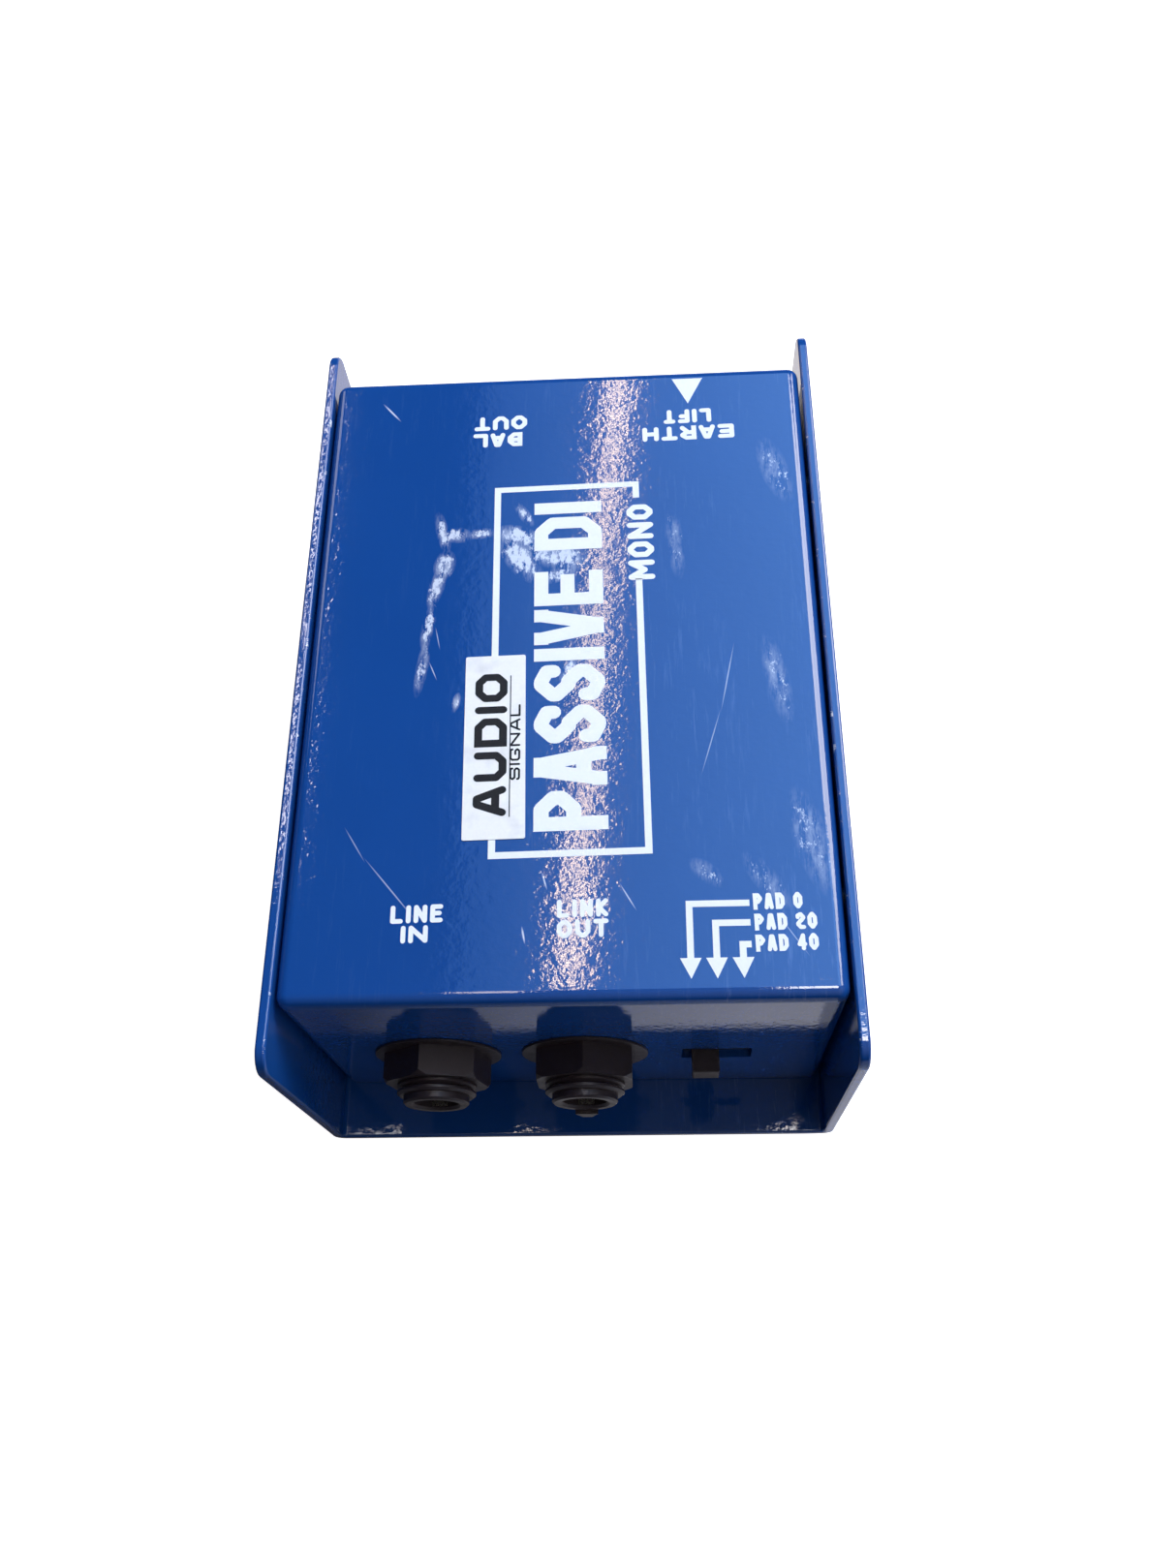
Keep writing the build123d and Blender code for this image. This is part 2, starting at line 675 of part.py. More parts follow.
with BuildPart() as transformer_winding:
    inset_x, inset_y = WINDING_INSET
    with BuildSketch(Plane.XY.offset(bobbin_bottom + BOBBIN_WALL)):
        with Locations((CORE_X, CORE_Y)):
            RectangleRounded(
                flange_width - 2 * inset_x, flange_depth - 2 * inset_y, WINDING_CORNER
            )
            Rectangle(tube_width, tube_depth, mode=Mode.SUBTRACT)
    extrude(amount=bobbin_top - bobbin_bottom - 2 * BOBBIN_WALL)
save(transformer_winding, "transformer_winding")

with BuildPart() as transformer_clamp:
    clamp_depth = CORE_DEPTH - 2 * CLAMP_INSET
    block(
        about(CORE_X, CORE_WIDTH + 2 * CLAMP_SHEET),
        about(CORE_Y, clamp_depth),
        (BOARD_Z, core_top + CLAMP_SHEET),
    )
    fillet(transformer_clamp.edges().filter_by(Axis.Y).group_by(Axis.Z)[-1], CLAMP_SHEET)
    block(
        about(CORE_X, CORE_WIDTH),
        about(CORE_Y, clamp_depth),
        (BOARD_Z, core_top),
        Mode.SUBTRACT,
    )
    for x, y in clamp_holes:
        block(about(x, CLAMP_SHEET), about(y, CLAMP_TAIL), (PIN_END, BOARD_Z))
save(transformer_clamp, "transformer_clamp")

with BuildPart() as transformer_pins:
    for x, y in transformer_holes:
        rod((x, y, PIN_END), (0, 0, 1), TRANSFORMER_PIN_R, BOARD_Z + PIN_GRIP - PIN_END)
save(transformer_pins, "transformer_pins")

# ---------------------------------------------------------------- slide switches
FRAME_SHEET = 0.5
FRAME_HEIGHT = 8.0
FRAME_DEPTH = 5.6
FRAME_INSIDE = FRAME_HEIGHT - 2 * FRAME_SHEET
TERMINAL_BASE = 1.2
TERMINAL_WIDTH = 0.9
TERMINAL_SHEET = 0.4
KNOB_WIDTH = 4.0
KNOB_HEIGHT = 4.3
KNOB_OUT = 3.3
KNOB_EDGE = 0.3
KNOB_PLAY = 0.4
CARRIAGE_DEPTH = 2.2
CARRIAGE_HEIGHT = 6.4
CARRIAGE_WIDTH = 8.4
BRIDGE_SIZE = (3.8, 0.6, 1.0)
RUNNING_GAP = 0.15
PANEL_GAP = 0.05

PAD_KNOB_X = PAD_X - PAD_TRAVEL / 2
PAD_FRAME_WIDTH = 16.4
LIFT_KNOB_X = LIFT_X - LIFT_TRAVEL / 2
LIFT_FRAME_WIDTH = 14.0
LIFT_EAR_WIDTH = 25.5
LIFT_EAR_HEIGHT = 6.4
LIFT_PIN_PITCH = 3.0
LIFT_PIN_X = [LIFT_X + (column - 1) * LIFT_PIN_PITCH for column in range(3)]
LIFT_PIN_LENGTH = 4.0

# A switch is described along "inward", the Y direction from the panel into the box.


def switch_frame(x, z, width, face, inward, travel):
    """Folded metal frame: a box open at the back with a slot for the knob."""
    block(about(x, width), span(face, inward * FRAME_DEPTH), about(z, FRAME_HEIGHT))
    block(
        about(x, width - 2 * FRAME_SHEET),
        span(face + inward * FRAME_SHEET, inward * FRAME_DEPTH),
        about(z, FRAME_INSIDE),
        Mode.SUBTRACT,
    )
    block(
        about(x, travel + KNOB_WIDTH + 2 * KNOB_PLAY),
        span(face, inward * FRAME_SHEET),
        about(z, KNOB_HEIGHT + KNOB_PLAY),
        Mode.SUBTRACT,
    )


def switch_base(x, z, width, back, inward, pin_x):
    """Laminate plate that closes the frame's back, slotted for its terminals."""
    depth = span(back, -inward * TERMINAL_BASE)
    block(about(x, width - 2 * FRAME_SHEET), depth, about(z, FRAME_INSIDE))
    for row in SWITCH_ROWS:
        for pin in pin_x:
            slot_z = about(z + row, TERMINAL_SHEET)
            block(about(pin, TERMINAL_WIDTH), depth, slot_z, Mode.SUBTRACT)


def switch_slider(x, z, panel, face, inward):
    """Moulded slider: a carriage inside the frame and a knob out through the panel."""
    start = face + inward * (FRAME_SHEET + RUNNING_GAP)
    carriage = span(start, inward * CARRIAGE_DEPTH)
    block(about(x, CARRIAGE_WIDTH), carriage, about(z, CARRIAGE_HEIGHT))
    knob_tip = panel - inward * KNOB_OUT
    block(about(x, KNOB_WIDTH), span(start, knob_tip - start), about(z, KNOB_HEIGHT))


def switch_bridges(x, z, face, inward):
    """Two contact bridges that the carriage drags along the terminals."""
    start = face + inward * (FRAME_SHEET + RUNNING_GAP + CARRIAGE_DEPTH)
    width, depth, height = BRIDGE_SIZE
    for row in SWITCH_ROWS:
        block(about(x, width), span(start, inward * depth), about(z + row, height))


# ---------------------------------------------------------------- pad switch
pad_face = FRONT_INSIDE + PANEL_GAP
pad_back = pad_face + FRAME_DEPTH

with BuildPart() as pad_frame:
    switch_frame(PAD_X, PAD_Z, PAD_FRAME_WIDTH, pad_face, 1, PAD_TRAVEL)
save(pad_frame, "pad_frame")

with BuildPart() as pad_base:
    switch_base(PAD_X, PAD_Z, PAD_FRAME_WIDTH, pad_back, 1, PAD_PIN_X)
save(pad_base, "pad_base")

with BuildPart() as pad_terminals:
    for row, drop_y in zip(SWITCH_ROWS, PAD_DROP_Y):
        drop = about(drop_y, TERMINAL_SHEET)
        level = about(PAD_Z + row, TERMINAL_SHEET)
        for x in PAD_PIN_X:
            width = about(x, TERMINAL_WIDTH)
            block(width, (pad_back - TERMINAL_BASE, drop[1]), level)
            block(width, drop, (PIN_END, level[1]))
save(pad_terminals, "pad_terminals")

with BuildPart() as pad_slider:
    switch_slider(PAD_KNOB_X, PAD_Z, FRONT_FACE, pad_face, 1)
    knob_front = pad_slider.faces().sort_by(Axis.Y)[0]
    fillet(knob_front.edges(), KNOB_EDGE)
save(pad_slider, "pad_slider")

with BuildPart() as pad_bridges:
    switch_bridges(PAD_KNOB_X, PAD_Z, pad_face, 1)
save(pad_bridges, "pad_bridges")

# ---------------------------------------------------------------- ground lift switch
SMALL_NUT = 2.0
SMALL_NUT_FLATS = 5.0
LIFT_SCREW_LENGTH = 5.5
EAR_LAP = 0.1
lift_face = REAR_INSIDE - PANEL_GAP
lift_back = lift_face - FRAME_DEPTH
lift_screw_sites = [(LIFT_X + side * LIFT_SCREW_X, REAR_FACE, REAR_Z) for side in (-1, 1)]

with BuildPart() as lift_frame:
    switch_frame(LIFT_X, REAR_Z, LIFT_FRAME_WIDTH, lift_face, -1, LIFT_TRAVEL)
    for side in (-1, 1):
        ear_start = LIFT_X + side * (LIFT_FRAME_WIDTH / 2 - EAR_LAP)
        ear_length = (LIFT_EAR_WIDTH - LIFT_FRAME_WIDTH) / 2 + EAR_LAP
        block(
            span(ear_start, side * ear_length),
            span(lift_face, -FRAME_SHEET),
            about(REAR_Z, LIFT_EAR_HEIGHT),
        )
        hole = (LIFT_X + side * LIFT_SCREW_X, lift_face, REAR_Z)
        rod(hole, (0, -1, 0), SMALL_HOLE_R, FRAME_SHEET, Mode.SUBTRACT)
save(lift_frame, "lift_frame")

with BuildPart() as lift_base:
    switch_base(LIFT_X, REAR_Z, LIFT_FRAME_WIDTH, lift_back, -1, LIFT_PIN_X)
save(lift_base, "lift_base")

with BuildPart() as lift_terminals:
    for row in SWITCH_ROWS:
        for x in LIFT_PIN_X:
            block(
                about(x, TERMINAL_WIDTH),
                (lift_back - LIFT_PIN_LENGTH, lift_back + TERMINAL_BASE),
                about(REAR_Z + row, TERMINAL_SHEET),
            )
save(lift_terminals, "lift_terminals")

with BuildPart() as lift_slider:
    switch_slider(LIFT_KNOB_X, REAR_Z, REAR_FACE, lift_face, -1)
    knob_front = lift_slider.faces().sort_by(Axis.Y)[-1]
    fillet(knob_front.edges(), KNOB_EDGE)
save(lift_slider, "lift_slider")

with BuildPart() as lift_bridges:
    switch_bridges(LIFT_KNOB_X, REAR_Z, lift_face, -1)
save(lift_bridges, "lift_bridges")

with BuildPart() as lift_screws:
    for site in lift_screw_sites:
        pan_screw(site, (0, -1, 0), LIFT_SCREW_LENGTH, SMALL_SCREW_R, SMALL_HEAD_R, SMALL_HEAD)
save(lift_screws, "lift_screws")

with BuildPart() as lift_nuts:
    for x, y, z in lift_screw_sites:
        seat = (x, lift_face - FRAME_SHEET, z)
        hex_nut(seat, (0, -1, 0), SMALL_NUT_FLATS, SMALL_SCREW_R + NUT_PLAY, SMALL_NUT)
save(lift_nuts, "lift_nuts")

# ---------------------------------------------------------------- rear three-pin connector
XLR_FLANGE = (26.0, 31.0)
XLR_FLANGE_SHEET = 2.2
XLR_FLANGE_CORNER = 3.0
XLR_FLANGE_EDGE = 0.5
XLR_BODY_R = 11.7
XLR_SOCKET_R = 9.6
XLR_DEPTH = 15.2
XLR_KEYWAY_WIDTH = 5.2
XLR_KEYWAY_START = 4.0
XLR_KEYWAY_RISE = 1.0
XLR_INSERT = 5.4
XLR_PIN_R = 1.2
XLR_PIN_TIP = 0.7
XLR_SHANK_R = 1.0
XLR_SHANK_OUT = 0.4
XLR_PINS = [(-3.5, 1.2), (3.5, 1.2), (0.0, -4.0)]
XLR_PIN_RECESS = 2.6
XLR_CUP = 4.0
XLR_NUT = 2.4
XLR_NUT_FLATS = 5.5
XLR_SCREW_LENGTH = 8.0
xlr_front = REAR_FACE + XLR_FLANGE_SHEET
socket_end = xlr_front - XLR_DEPTH
insert_end = socket_end - XLR_INSERT
cup_end = insert_end - XLR_CUP
contact_start = socket_end + XLR_SHANK_OUT
contact_tip = xlr_front - XLR_PIN_RECESS
xlr_screw_sites = [(XLR_X + x, xlr_front, REAR_Z + z) for x, z in XLR_SCREWS]

with BuildPart() as xlr_shell:
    with BuildSketch(upright(xlr_front)):
        with Locations((XLR_X, REAR_Z)):
            RectangleRounded(*XLR_FLANGE, XLR_FLANGE_CORNER)
        with Locations(*[(x, z) for x, y, z in xlr_screw_sites]):
            Circle(SCREW_HOLE_R, mode=Mode.SUBTRACT)
    extrude(amount=XLR_FLANGE_SHEET)
    flange_rim = xlr_shell.faces().sort_by(Axis.Y)[-1].outer_wire().edges()
    fillet(flange_rim, XLR_FLANGE_EDGE)
    middle = (XLR_X, insert_end, REAR_Z)
    rod(middle, (0, 1, 0), XLR_BODY_R, REAR_FACE - insert_end)
    rod(middle, (0, 1, 0), XLR_SOCKET_R, xlr_front - insert_end, Mode.SUBTRACT)
    block(
        about(XLR_X, XLR_KEYWAY_WIDTH),
        (socket_end + XLR_KEYWAY_START, xlr_front),
        (REAR_Z, REAR_Z + XLR_SOCKET_R + XLR_KEYWAY_RISE),
        Mode.SUBTRACT,
    )
save(xlr_shell, "xlr_shell")

with BuildPart() as xlr_insert:
    rod((XLR_X, insert_end, REAR_Z), (0, 1, 0), XLR_SOCKET_R, XLR_INSERT)
    for x, z in XLR_PINS:
        pin = (XLR_X + x, insert_end, REAR_Z + z)
        rod(pin, (0, 1, 0), XLR_SHANK_R, XLR_INSERT, Mode.SUBTRACT)
save(xlr_insert, "xlr_insert")

with BuildPart() as xlr_pins:
    for x, z in XLR_PINS:
        shank = (XLR_X + x, cup_end, REAR_Z + z)
        contact = (XLR_X + x, contact_start, REAR_Z + z)
        rod(shank, (0, 1, 0), XLR_SHANK_R, contact_start - cup_end)
        rod(contact, (0, 1, 0), XLR_PIN_R, contact_tip - contact_start)
    tips = xlr_pins.faces().filter_by(Axis.Y).sort_by(Axis.Y)[-3:].edges()
    fillet(tips, XLR_PIN_TIP)
save(xlr_pins, "xlr_pins")

with BuildPart() as xlr_screws:
    for site in xlr_screw_sites:
        pan_screw(site, (0, -1, 0), XLR_SCREW_LENGTH, SCREW_R, PAN_HEAD_R, PAN_HEAD)
save(xlr_screws, "xlr_screws")

with BuildPart() as xlr_nuts:
    for x, y, z in xlr_screw_sites:
        hex_nut((x, REAR_INSIDE, z), (0, -1, 0), XLR_NUT_FLATS, SCREW_R + NUT_PLAY, XLR_NUT)
save(xlr_nuts, "xlr_nuts")

# ---------------------------------------------------------------- hook-up wires
WIRE_R = 0.65
WIRE_BEND = 5.0
WIRE_RISE = 9.0
SIGNAL_RUN = 12.0
LIFT_RUN = 14.0
LIFT_WIRE_Z = REAR_Z + SWITCH_ROWS[0]
SIGNAL_PINS = (XLR_PINS[0], XLR_PINS[2], XLR_PINS[1])


def wire(pad_x, end, run):
    """One wire: up from its board pad, over, and level into a terminal's end."""
    pad = Vector(pad_x, WIRE_PAD_Y, BOARD_Z)
    over = pad + Vector(0, 0, WIRE_RISE)
    before = Vector(*end) - Vector(0, run, 0)
    with BuildLine():
        route = FilletPolyline(pad, over, before, end, radius=[WIRE_BEND, WIRE_BEND])
    with BuildSketch(along(pad, (0, 0, 1))) as section:
        Circle(WIRE_R)
    sweep(section.sketch, path=route)


with BuildPart() as signal_wires:
    for pad_x, (x, z) in zip(SIGNAL_PAD_X, SIGNAL_PINS):
        wire(pad_x, (XLR_X + x, cup_end, REAR_Z + z), SIGNAL_RUN)
save(signal_wires, "signal_wires")

with BuildPart() as lift_wires:
    for pad_x, x in zip(LIFT_PAD_X, LIFT_PIN_X):
        wire(pad_x, (x, lift_back - LIFT_PIN_LENGTH, LIFT_WIRE_Z), LIFT_RUN)
save(lift_wires, "lift_wires")
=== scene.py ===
import json
import math

import bmesh
import bpy
from mathutils import Matrix, Vector
from mathutils.geometry import delaunay_2d_cdt


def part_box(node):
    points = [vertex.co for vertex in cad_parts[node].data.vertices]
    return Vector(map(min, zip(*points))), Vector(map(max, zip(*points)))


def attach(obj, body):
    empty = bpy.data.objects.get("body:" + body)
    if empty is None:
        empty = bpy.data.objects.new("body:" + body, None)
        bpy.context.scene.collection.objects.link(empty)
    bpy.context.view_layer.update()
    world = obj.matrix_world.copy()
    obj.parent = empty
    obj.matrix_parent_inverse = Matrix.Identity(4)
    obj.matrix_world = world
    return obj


# Looks, printed legend, camera and light for a direct injection box; its shapes come from the frame.
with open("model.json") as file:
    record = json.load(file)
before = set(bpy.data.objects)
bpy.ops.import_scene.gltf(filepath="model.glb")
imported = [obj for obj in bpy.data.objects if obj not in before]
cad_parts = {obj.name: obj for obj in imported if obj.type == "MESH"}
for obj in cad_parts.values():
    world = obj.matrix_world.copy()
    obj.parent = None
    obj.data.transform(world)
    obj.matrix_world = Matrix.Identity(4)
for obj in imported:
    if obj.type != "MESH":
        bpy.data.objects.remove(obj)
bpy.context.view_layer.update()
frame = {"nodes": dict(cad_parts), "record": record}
nodes = frame["nodes"]
MM = 0.001

# ---------------------------------------------------------------- places taken from the frame
COVER_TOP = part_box("top_cover")[1].z
LABEL_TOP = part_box("cover_label")[1].z
WALL_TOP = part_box("base_chassis")[1].z
CHASSIS_SHEET = 1.5 * MM
WALL_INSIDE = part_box("base_chassis")[1].x - CHASSIS_SHEET
BOARD_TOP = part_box("main_board")[1].z

# ---------------------------------------------------------------- camera
CAMERA_PLACE = Vector((13.57, -100.65, 216.92)) * MM
CAMERA_RIGHT = Vector((0.998314, 0.000565, -0.058049))
CAMERA_UP = Vector((0.024267, 0.904335, 0.426134))
CAMERA_LENS = 30.23
CAMERA_SENSOR = 36.0
CAMERA_NEAREST = 5 * MM

camera_data = bpy.data.cameras.new("camera")
camera_data.lens = CAMERA_LENS
camera_data.sensor_width = CAMERA_SENSOR
camera_data.clip_start = CAMERA_NEAREST
camera = bpy.data.objects.new("camera", camera_data)
bpy.context.scene.collection.objects.link(camera)
camera_back = CAMERA_RIGHT.cross(CAMERA_UP)
turn = Matrix((CAMERA_RIGHT, CAMERA_UP, camera_back)).transposed()
camera.rotation_mode = "QUATERNION"
camera.rotation_quaternion = turn.to_quaternion()
camera.location = CAMERA_PLACE
bpy.context.scene.camera = camera
bpy.context.scene.view_settings.view_transform = "Standard"


# ---------------------------------------------------------------- material helpers
# A mark drawn as an ellipse is full inside its core and fades out to its rim.
ELLIPSE_CORE, ELLIPSE_RIM = 0.4, 1.0


class Recipe:
    """A material under construction: a Principled shader and the nodes that feed it.

    Sizes along the object are in metres, so a noise scale is in features per metre.
    """

    def __init__(self, name, **inputs):
        self.material = bpy.data.materials.new(name)
        self.material.use_nodes = True
        self.tree = self.material.node_tree
        self.shader = self.tree.nodes["Principled BSDF"]
        for key, value in inputs.items():
            self.shader.inputs[key.replace("_", " ")].default_value = value
        self.place = self.tree.nodes.new("ShaderNodeTexCoord").outputs["Object"]

    def node(self, kind, **settings):
        """A new shader node with its settings."""
        made = self.tree.nodes.new("ShaderNode" + kind)
        for key, value in settings.items():
            setattr(made, key, value)
        return made

    def link(self, output, target):
        self.tree.links.new(output, target)

    def feed(self, output, key):
        """Let an output drive one input of the shader."""
        self.link(output, self.shader.inputs[key])

    def stretched(self, scale, turn=0.0):
        """Object coordinates turned about Z and scaled by three numbers."""
        mapping = self.node("Mapping")
        self.link(self.place, mapping.inputs["Vector"])
        mapping.inputs["Rotation"].default_value = (0, 0, turn)
        mapping.inputs["Scale"].default_value = scale
        return mapping.outputs["Vector"]

    def noise(self, scale, detail=4.0, rough=0.5, place=None):
        """Soft noise from 0 to 1, about 0.5 on average."""
        texture = self.node("TexNoise")
        self.link(place or self.place, texture.inputs["Vector"])
        texture.inputs["Scale"].default_value = scale
        texture.inputs["Detail"].default_value = detail
        texture.inputs["Roughness"].default_value = rough
        return texture.outputs["Fac"]

    def remap(self, value, low, high, to_low=0.0, to_high=1.0):
        """A value stretched from low..high to to_low..to_high and held at both ends."""
        made = self.node("MapRange")
        self.link(value, made.inputs["Value"])
        made.inputs["From Min"].default_value = low
        made.inputs["From Max"].default_value = high
        made.inputs["To Min"].default_value = to_low
        made.inputs["To Max"].default_value = to_high
        return made.outputs["Result"]

    def math(self, kind, first, second):
        """A sum with two numbers or sockets."""
        made = self.node("Math", operation=kind)
        for socket, value in zip(made.inputs, (first, second)):
            if isinstance(value, (int, float)):
                socket.default_value = value
            else:
                self.link(value, socket)
        return made.outputs["Value"]

    def absolute(self, value):
        """A value without its sign."""
        made = self.node("Math", operation="ABSOLUTE")
        self.link(value, made.inputs[0])
        return made.outputs["Value"]

    def mix(self, share, first, second):
        """Colour between two colours or colour sockets."""
        made = self.node("Mix", data_type="RGBA")
        self.link(share, made.inputs["Factor"])
        colour_a = [s for s in made.inputs if s.name == "A" and s.type == "RGBA"][0]
        colour_b = [s for s in made.inputs if s.name == "B" and s.type == "RGBA"][0]
        for socket, value in ((colour_a, first), (colour_b, second)):
            if isinstance(value, tuple):
                socket.default_value = (*value, 1.0)
            else:
                self.link(value, socket)
        return [s for s in made.outputs if s.type == "RGBA"][0]

    def axis(self, letter):
        """One object coordinate, in metres."""
        made = self.node("SeparateXYZ")
        self.link(self.place, made.inputs["Vector"])
        return made.outputs[letter]

    def wave(self, letter, period, distortion=0.0):
        """Bands across an axis, a given distance apart."""
        made = self.node("TexWave", bands_direction=letter)
        self.link(self.place, made.inputs["Vector"])
        made.inputs["Scale"].default_value = math.pi / 10 / period
        made.inputs["Distortion"].default_value = distortion
        return made.outputs["Fac"]

    def cell_edges(self, scale):
        """How far a point is from the nearest edge of a pattern of cells."""
        made = self.node("TexVoronoi", feature="DISTANCE_TO_EDGE")
        self.link(self.place, made.inputs["Vector"])
        made.inputs["Scale"].default_value = scale
        return made.outputs["Distance"]

    def bands(self, value, stops):
        """Colour bands with hard edges, each from its place (0 to 1) on."""
        made = self.node("ValToRGB")
        self.link(value, made.inputs["Fac"])
        ramp = made.color_ramp
        ramp.interpolation = "CONSTANT"
        while len(ramp.elements) < len(stops):
            ramp.elements.new(1.0)
        for element, (place, colour) in zip(ramp.elements, stops):
            element.position = place
            element.color = (*colour, 1.0)
        return made.outputs["Color"]

    def ellipse(self, start, end, half_width):
        """1 in the middle of a long ellipse drawn on the cover's top, 0 outside it."""
        start, end = Vector(start) * MM, Vector(end) * MM
        middle = (start + end) / 2
        along = end - start
        made = self.node("Mapping", vector_type="TEXTURE")
        self.link(self.place, made.inputs["Vector"])
        made.inputs["Location"].default_value = (middle.x, middle.y, COVER_TOP)
        made.inputs["Rotation"].default_value = (0, 0, math.atan2(along.y, along.x))
        made.inputs["Scale"].default_value = (along.length / 2, half_width * MM, MM)
        reach = self.node("VectorMath", operation="LENGTH")
        self.link(made.outputs["Vector"], reach.inputs[0])
        return self.remap(reach.outputs["Value"], ELLIPSE_RIM, ELLIPSE_CORE)

    def bump(self, height, depth, under=None):
        """A bump whose height goes up and down by depth, in millimetres."""
        made = self.node("Bump")
        made.inputs["Strength"].default_value = 1.0
        made.inputs["Distance"].default_value = depth * MM
        self.link(height, made.inputs["Height"])
        if under:
            self.link(under, made.inputs["Normal"])
        return made.outputs["Normal"]


# ---------------------------------------------------------------- finishes
# Rubbed places on the cover's top: start and end, half width (all in millimetres), strength.
RUBS = (
    ((-20.0, 27.0), (-18.0, 18.5), 1.1, 0.85),
    ((-20.0, 22.8), (-14.0, 21.8), 1.6, 0.85),
    ((-15.6, 22.2), (-10.4, 22.6), 1.1, 0.75),
    ((-10.8, 23.0), (-3.4, 20.4), 2.0, 0.95),
    ((-9.8, 22.2), (-3.6, 12.8), 2.5, 0.95),
    ((-7.0, 20.0), (4.4, 16.2), 2.9, 0.92),
    ((-4.8, 13.0), (2.6, 15.4), 1.4, 0.75),
    ((-17.9, 19.6), (-18.9, 13.8), 1.8, 0.95),
    ((-18.4, 17.0), (-20.5, 8.6), 1.3, 0.85),
    ((-19.8, 10.0), (-21.0, 1.4), 1.1, 0.78),
    ((-20.3, 4.0), (-21.6, -6.8), 1.0, 0.72),
    ((-7.8, 28.2), (-4.8, 23.4), 1.0, 0.72),
    ((1.9, -0.2), (0.0, -5.2), 1.3, 0.85),
    ((-15.3, -5.8), (-16.0, -9.4), 0.7, 0.72),
    ((31.4, 39.5), (35.0, 26.0), 2.4, 0.44),
    ((16.6, 26.0), (17.7, 12.5), 1.5, 0.42),
    ((30.0, 3.0), (32.6, -13.0), 1.9, 0.42),
    ((32.6, -22.0), (36.4, -39.0), 2.6, 0.48),
    ((25.0, -32.0), (31.0, -40.5), 1.8, 0.44),
    ((17.5, -33.0), (22.5, -37.0), 1.5, 0.42),
)
# Scratches there, in the same form.
SCRATCHES = (
    ((-30.2, 49.2), (-26.9, 45.2), 0.20, 0.9),
    ((25.4, 1.5), (22.9, -10.5), 0.11, 0.55),
    ((23.0, -9.5), (19.7, -20.5), 0.11, 0.45),
    ((-30.6, -27.0), (-27.2, -32.6), 0.11, 0.45),
    ((-27.6, -31.6), (-19.6, -41.2), 0.13, 0.5),
    ((8.0, -36.2), (10.4, -40.4), 0.12, 0.7),
    ((-2.6, -34.4), (-1.8, -37.2), 0.14, 0.8),
    ((-5.2, -42.2), (-4.7, -44.8), 0.16, 0.9),
    ((-19.3, 5.6), (-18.4, 1.4), 0.09, 0.6),
    ((-20.0, -0.4), (-18.6, -3.8), 0.10, 0.7),
    ((29.4, -41.5), (33.2, -47.3), 0.10, 0.4),
)
SCUFF = (0.72, 0.76, 0.86)
# Pale steel for chipped paint, which also serves as a painted highlight for the glints along the walls'
# top edges.
BARE_STEEL_AND_GLINT = (0.72, 0.74, 0.78)
ENAMEL_DARK = (0.0078, 0.064, 0.268)
ENAMEL_LIGHT = (0.0098, 0.073, 0.298)
# Pale blue of the rubbed streaks, which also paints the light on the top's right side.
ENAMEL_RUBBED_AND_LIT = (0.20, 0.32, 0.62)
GLINT_CHIP_DEPTH = 0.30 * MM
GLINT_CHIP_FADE = 0.08 * MM


def rubbing_and_painted_light(recipe, body):
    """Faint lengthwise streaks in patches, more of them to the right: rubbing marks, and a painted light
    that brightens the top's right side.
    """
    streaks = recipe.noise(1.0, 5.0, 0.65, recipe.stretched((1500.0, 130.0, 500.0), 0.08))
    patches = recipe.noise(45.0, 2.0)
    rubbed = recipe.math("MULTIPLY", recipe.remap(streaks, 0.55, 0.85), recipe.remap(patches, 0.4, 0.7))
    # Painted light: the streaks grow stronger to the right, where the top catches more light.
    painted_light_to_right = recipe.remap(recipe.axis("X"), -10 * MM, 35 * MM, 0.12, 0.55)
    return recipe.mix(recipe.math("MULTIPLY", rubbed, painted_light_to_right), body, ENAMEL_RUBBED_AND_LIT)


def rubbed_places(recipe, body, marks):
    """Scuffs that break up into flakes where they are strong and wisps where they are weak."""
    flakes = recipe.noise(1.0, 6.0, 0.75, recipe.stretched((1300.0, 620.0, 1300.0), 0.2))
    flakes = recipe.remap(flakes, 0.36, 0.66)
    wisps = recipe.noise(1.0, 4.0, 0.7, recipe.stretched((1100.0, 260.0, 700.0), 0.1))
    wisps = recipe.remap(wisps, 0.42, 0.75, 0.0, 0.9)
    for start, end, half_width, strength in marks:
        share = recipe.math("MULTIPLY", recipe.ellipse(start, end, half_width), strength)
        worn = recipe.remap(recipe.math("ADD", share, flakes), 1.04, 1.38)
        veil = recipe.math("MULTIPLY", share, wisps)
        body = recipe.mix(recipe.math("MAXIMUM", worn, veil), body, SCUFF)
    return body


def scratched_places(recipe, body, scratches):
    """Thin, even scratches."""
    for start, end, half_width, strength in scratches:
        share = recipe.math("MULTIPLY", recipe.ellipse(start, end, half_width), strength)
        body = recipe.mix(share, body, SCUFF)
    return body


def chipped_edges_and_glints(recipe, body):
    """Pale specks here and there along the upper inner edge of both side walls: bare steel where the paint
    is chipped, and a painted highlight for the glints along that edge.
    """
    across = recipe.absolute(recipe.axis("X"))
    inner_edge = WALL_INSIDE + GLINT_CHIP_DEPTH
    inner = recipe.remap(across, inner_edge + GLINT_CHIP_FADE, inner_edge)
    upper_edge = WALL_TOP - GLINT_CHIP_DEPTH
    upper = recipe.remap(recipe.axis("Z"), upper_edge, upper_edge + GLINT_CHIP_FADE)
    along = recipe.noise(1.0, 5.0, 0.75, recipe.stretched((200.0, 330.0, 200.0)))
    chips_and_glints = recipe.math("MULTIPLY", inner, upper)
    chips_and_glints = recipe.math("MULTIPLY", chips_and_glints, recipe.remap(along, 0.60, 0.66))
    return recipe.mix(chips_and_glints, body, BARE_STEEL_AND_GLINT)


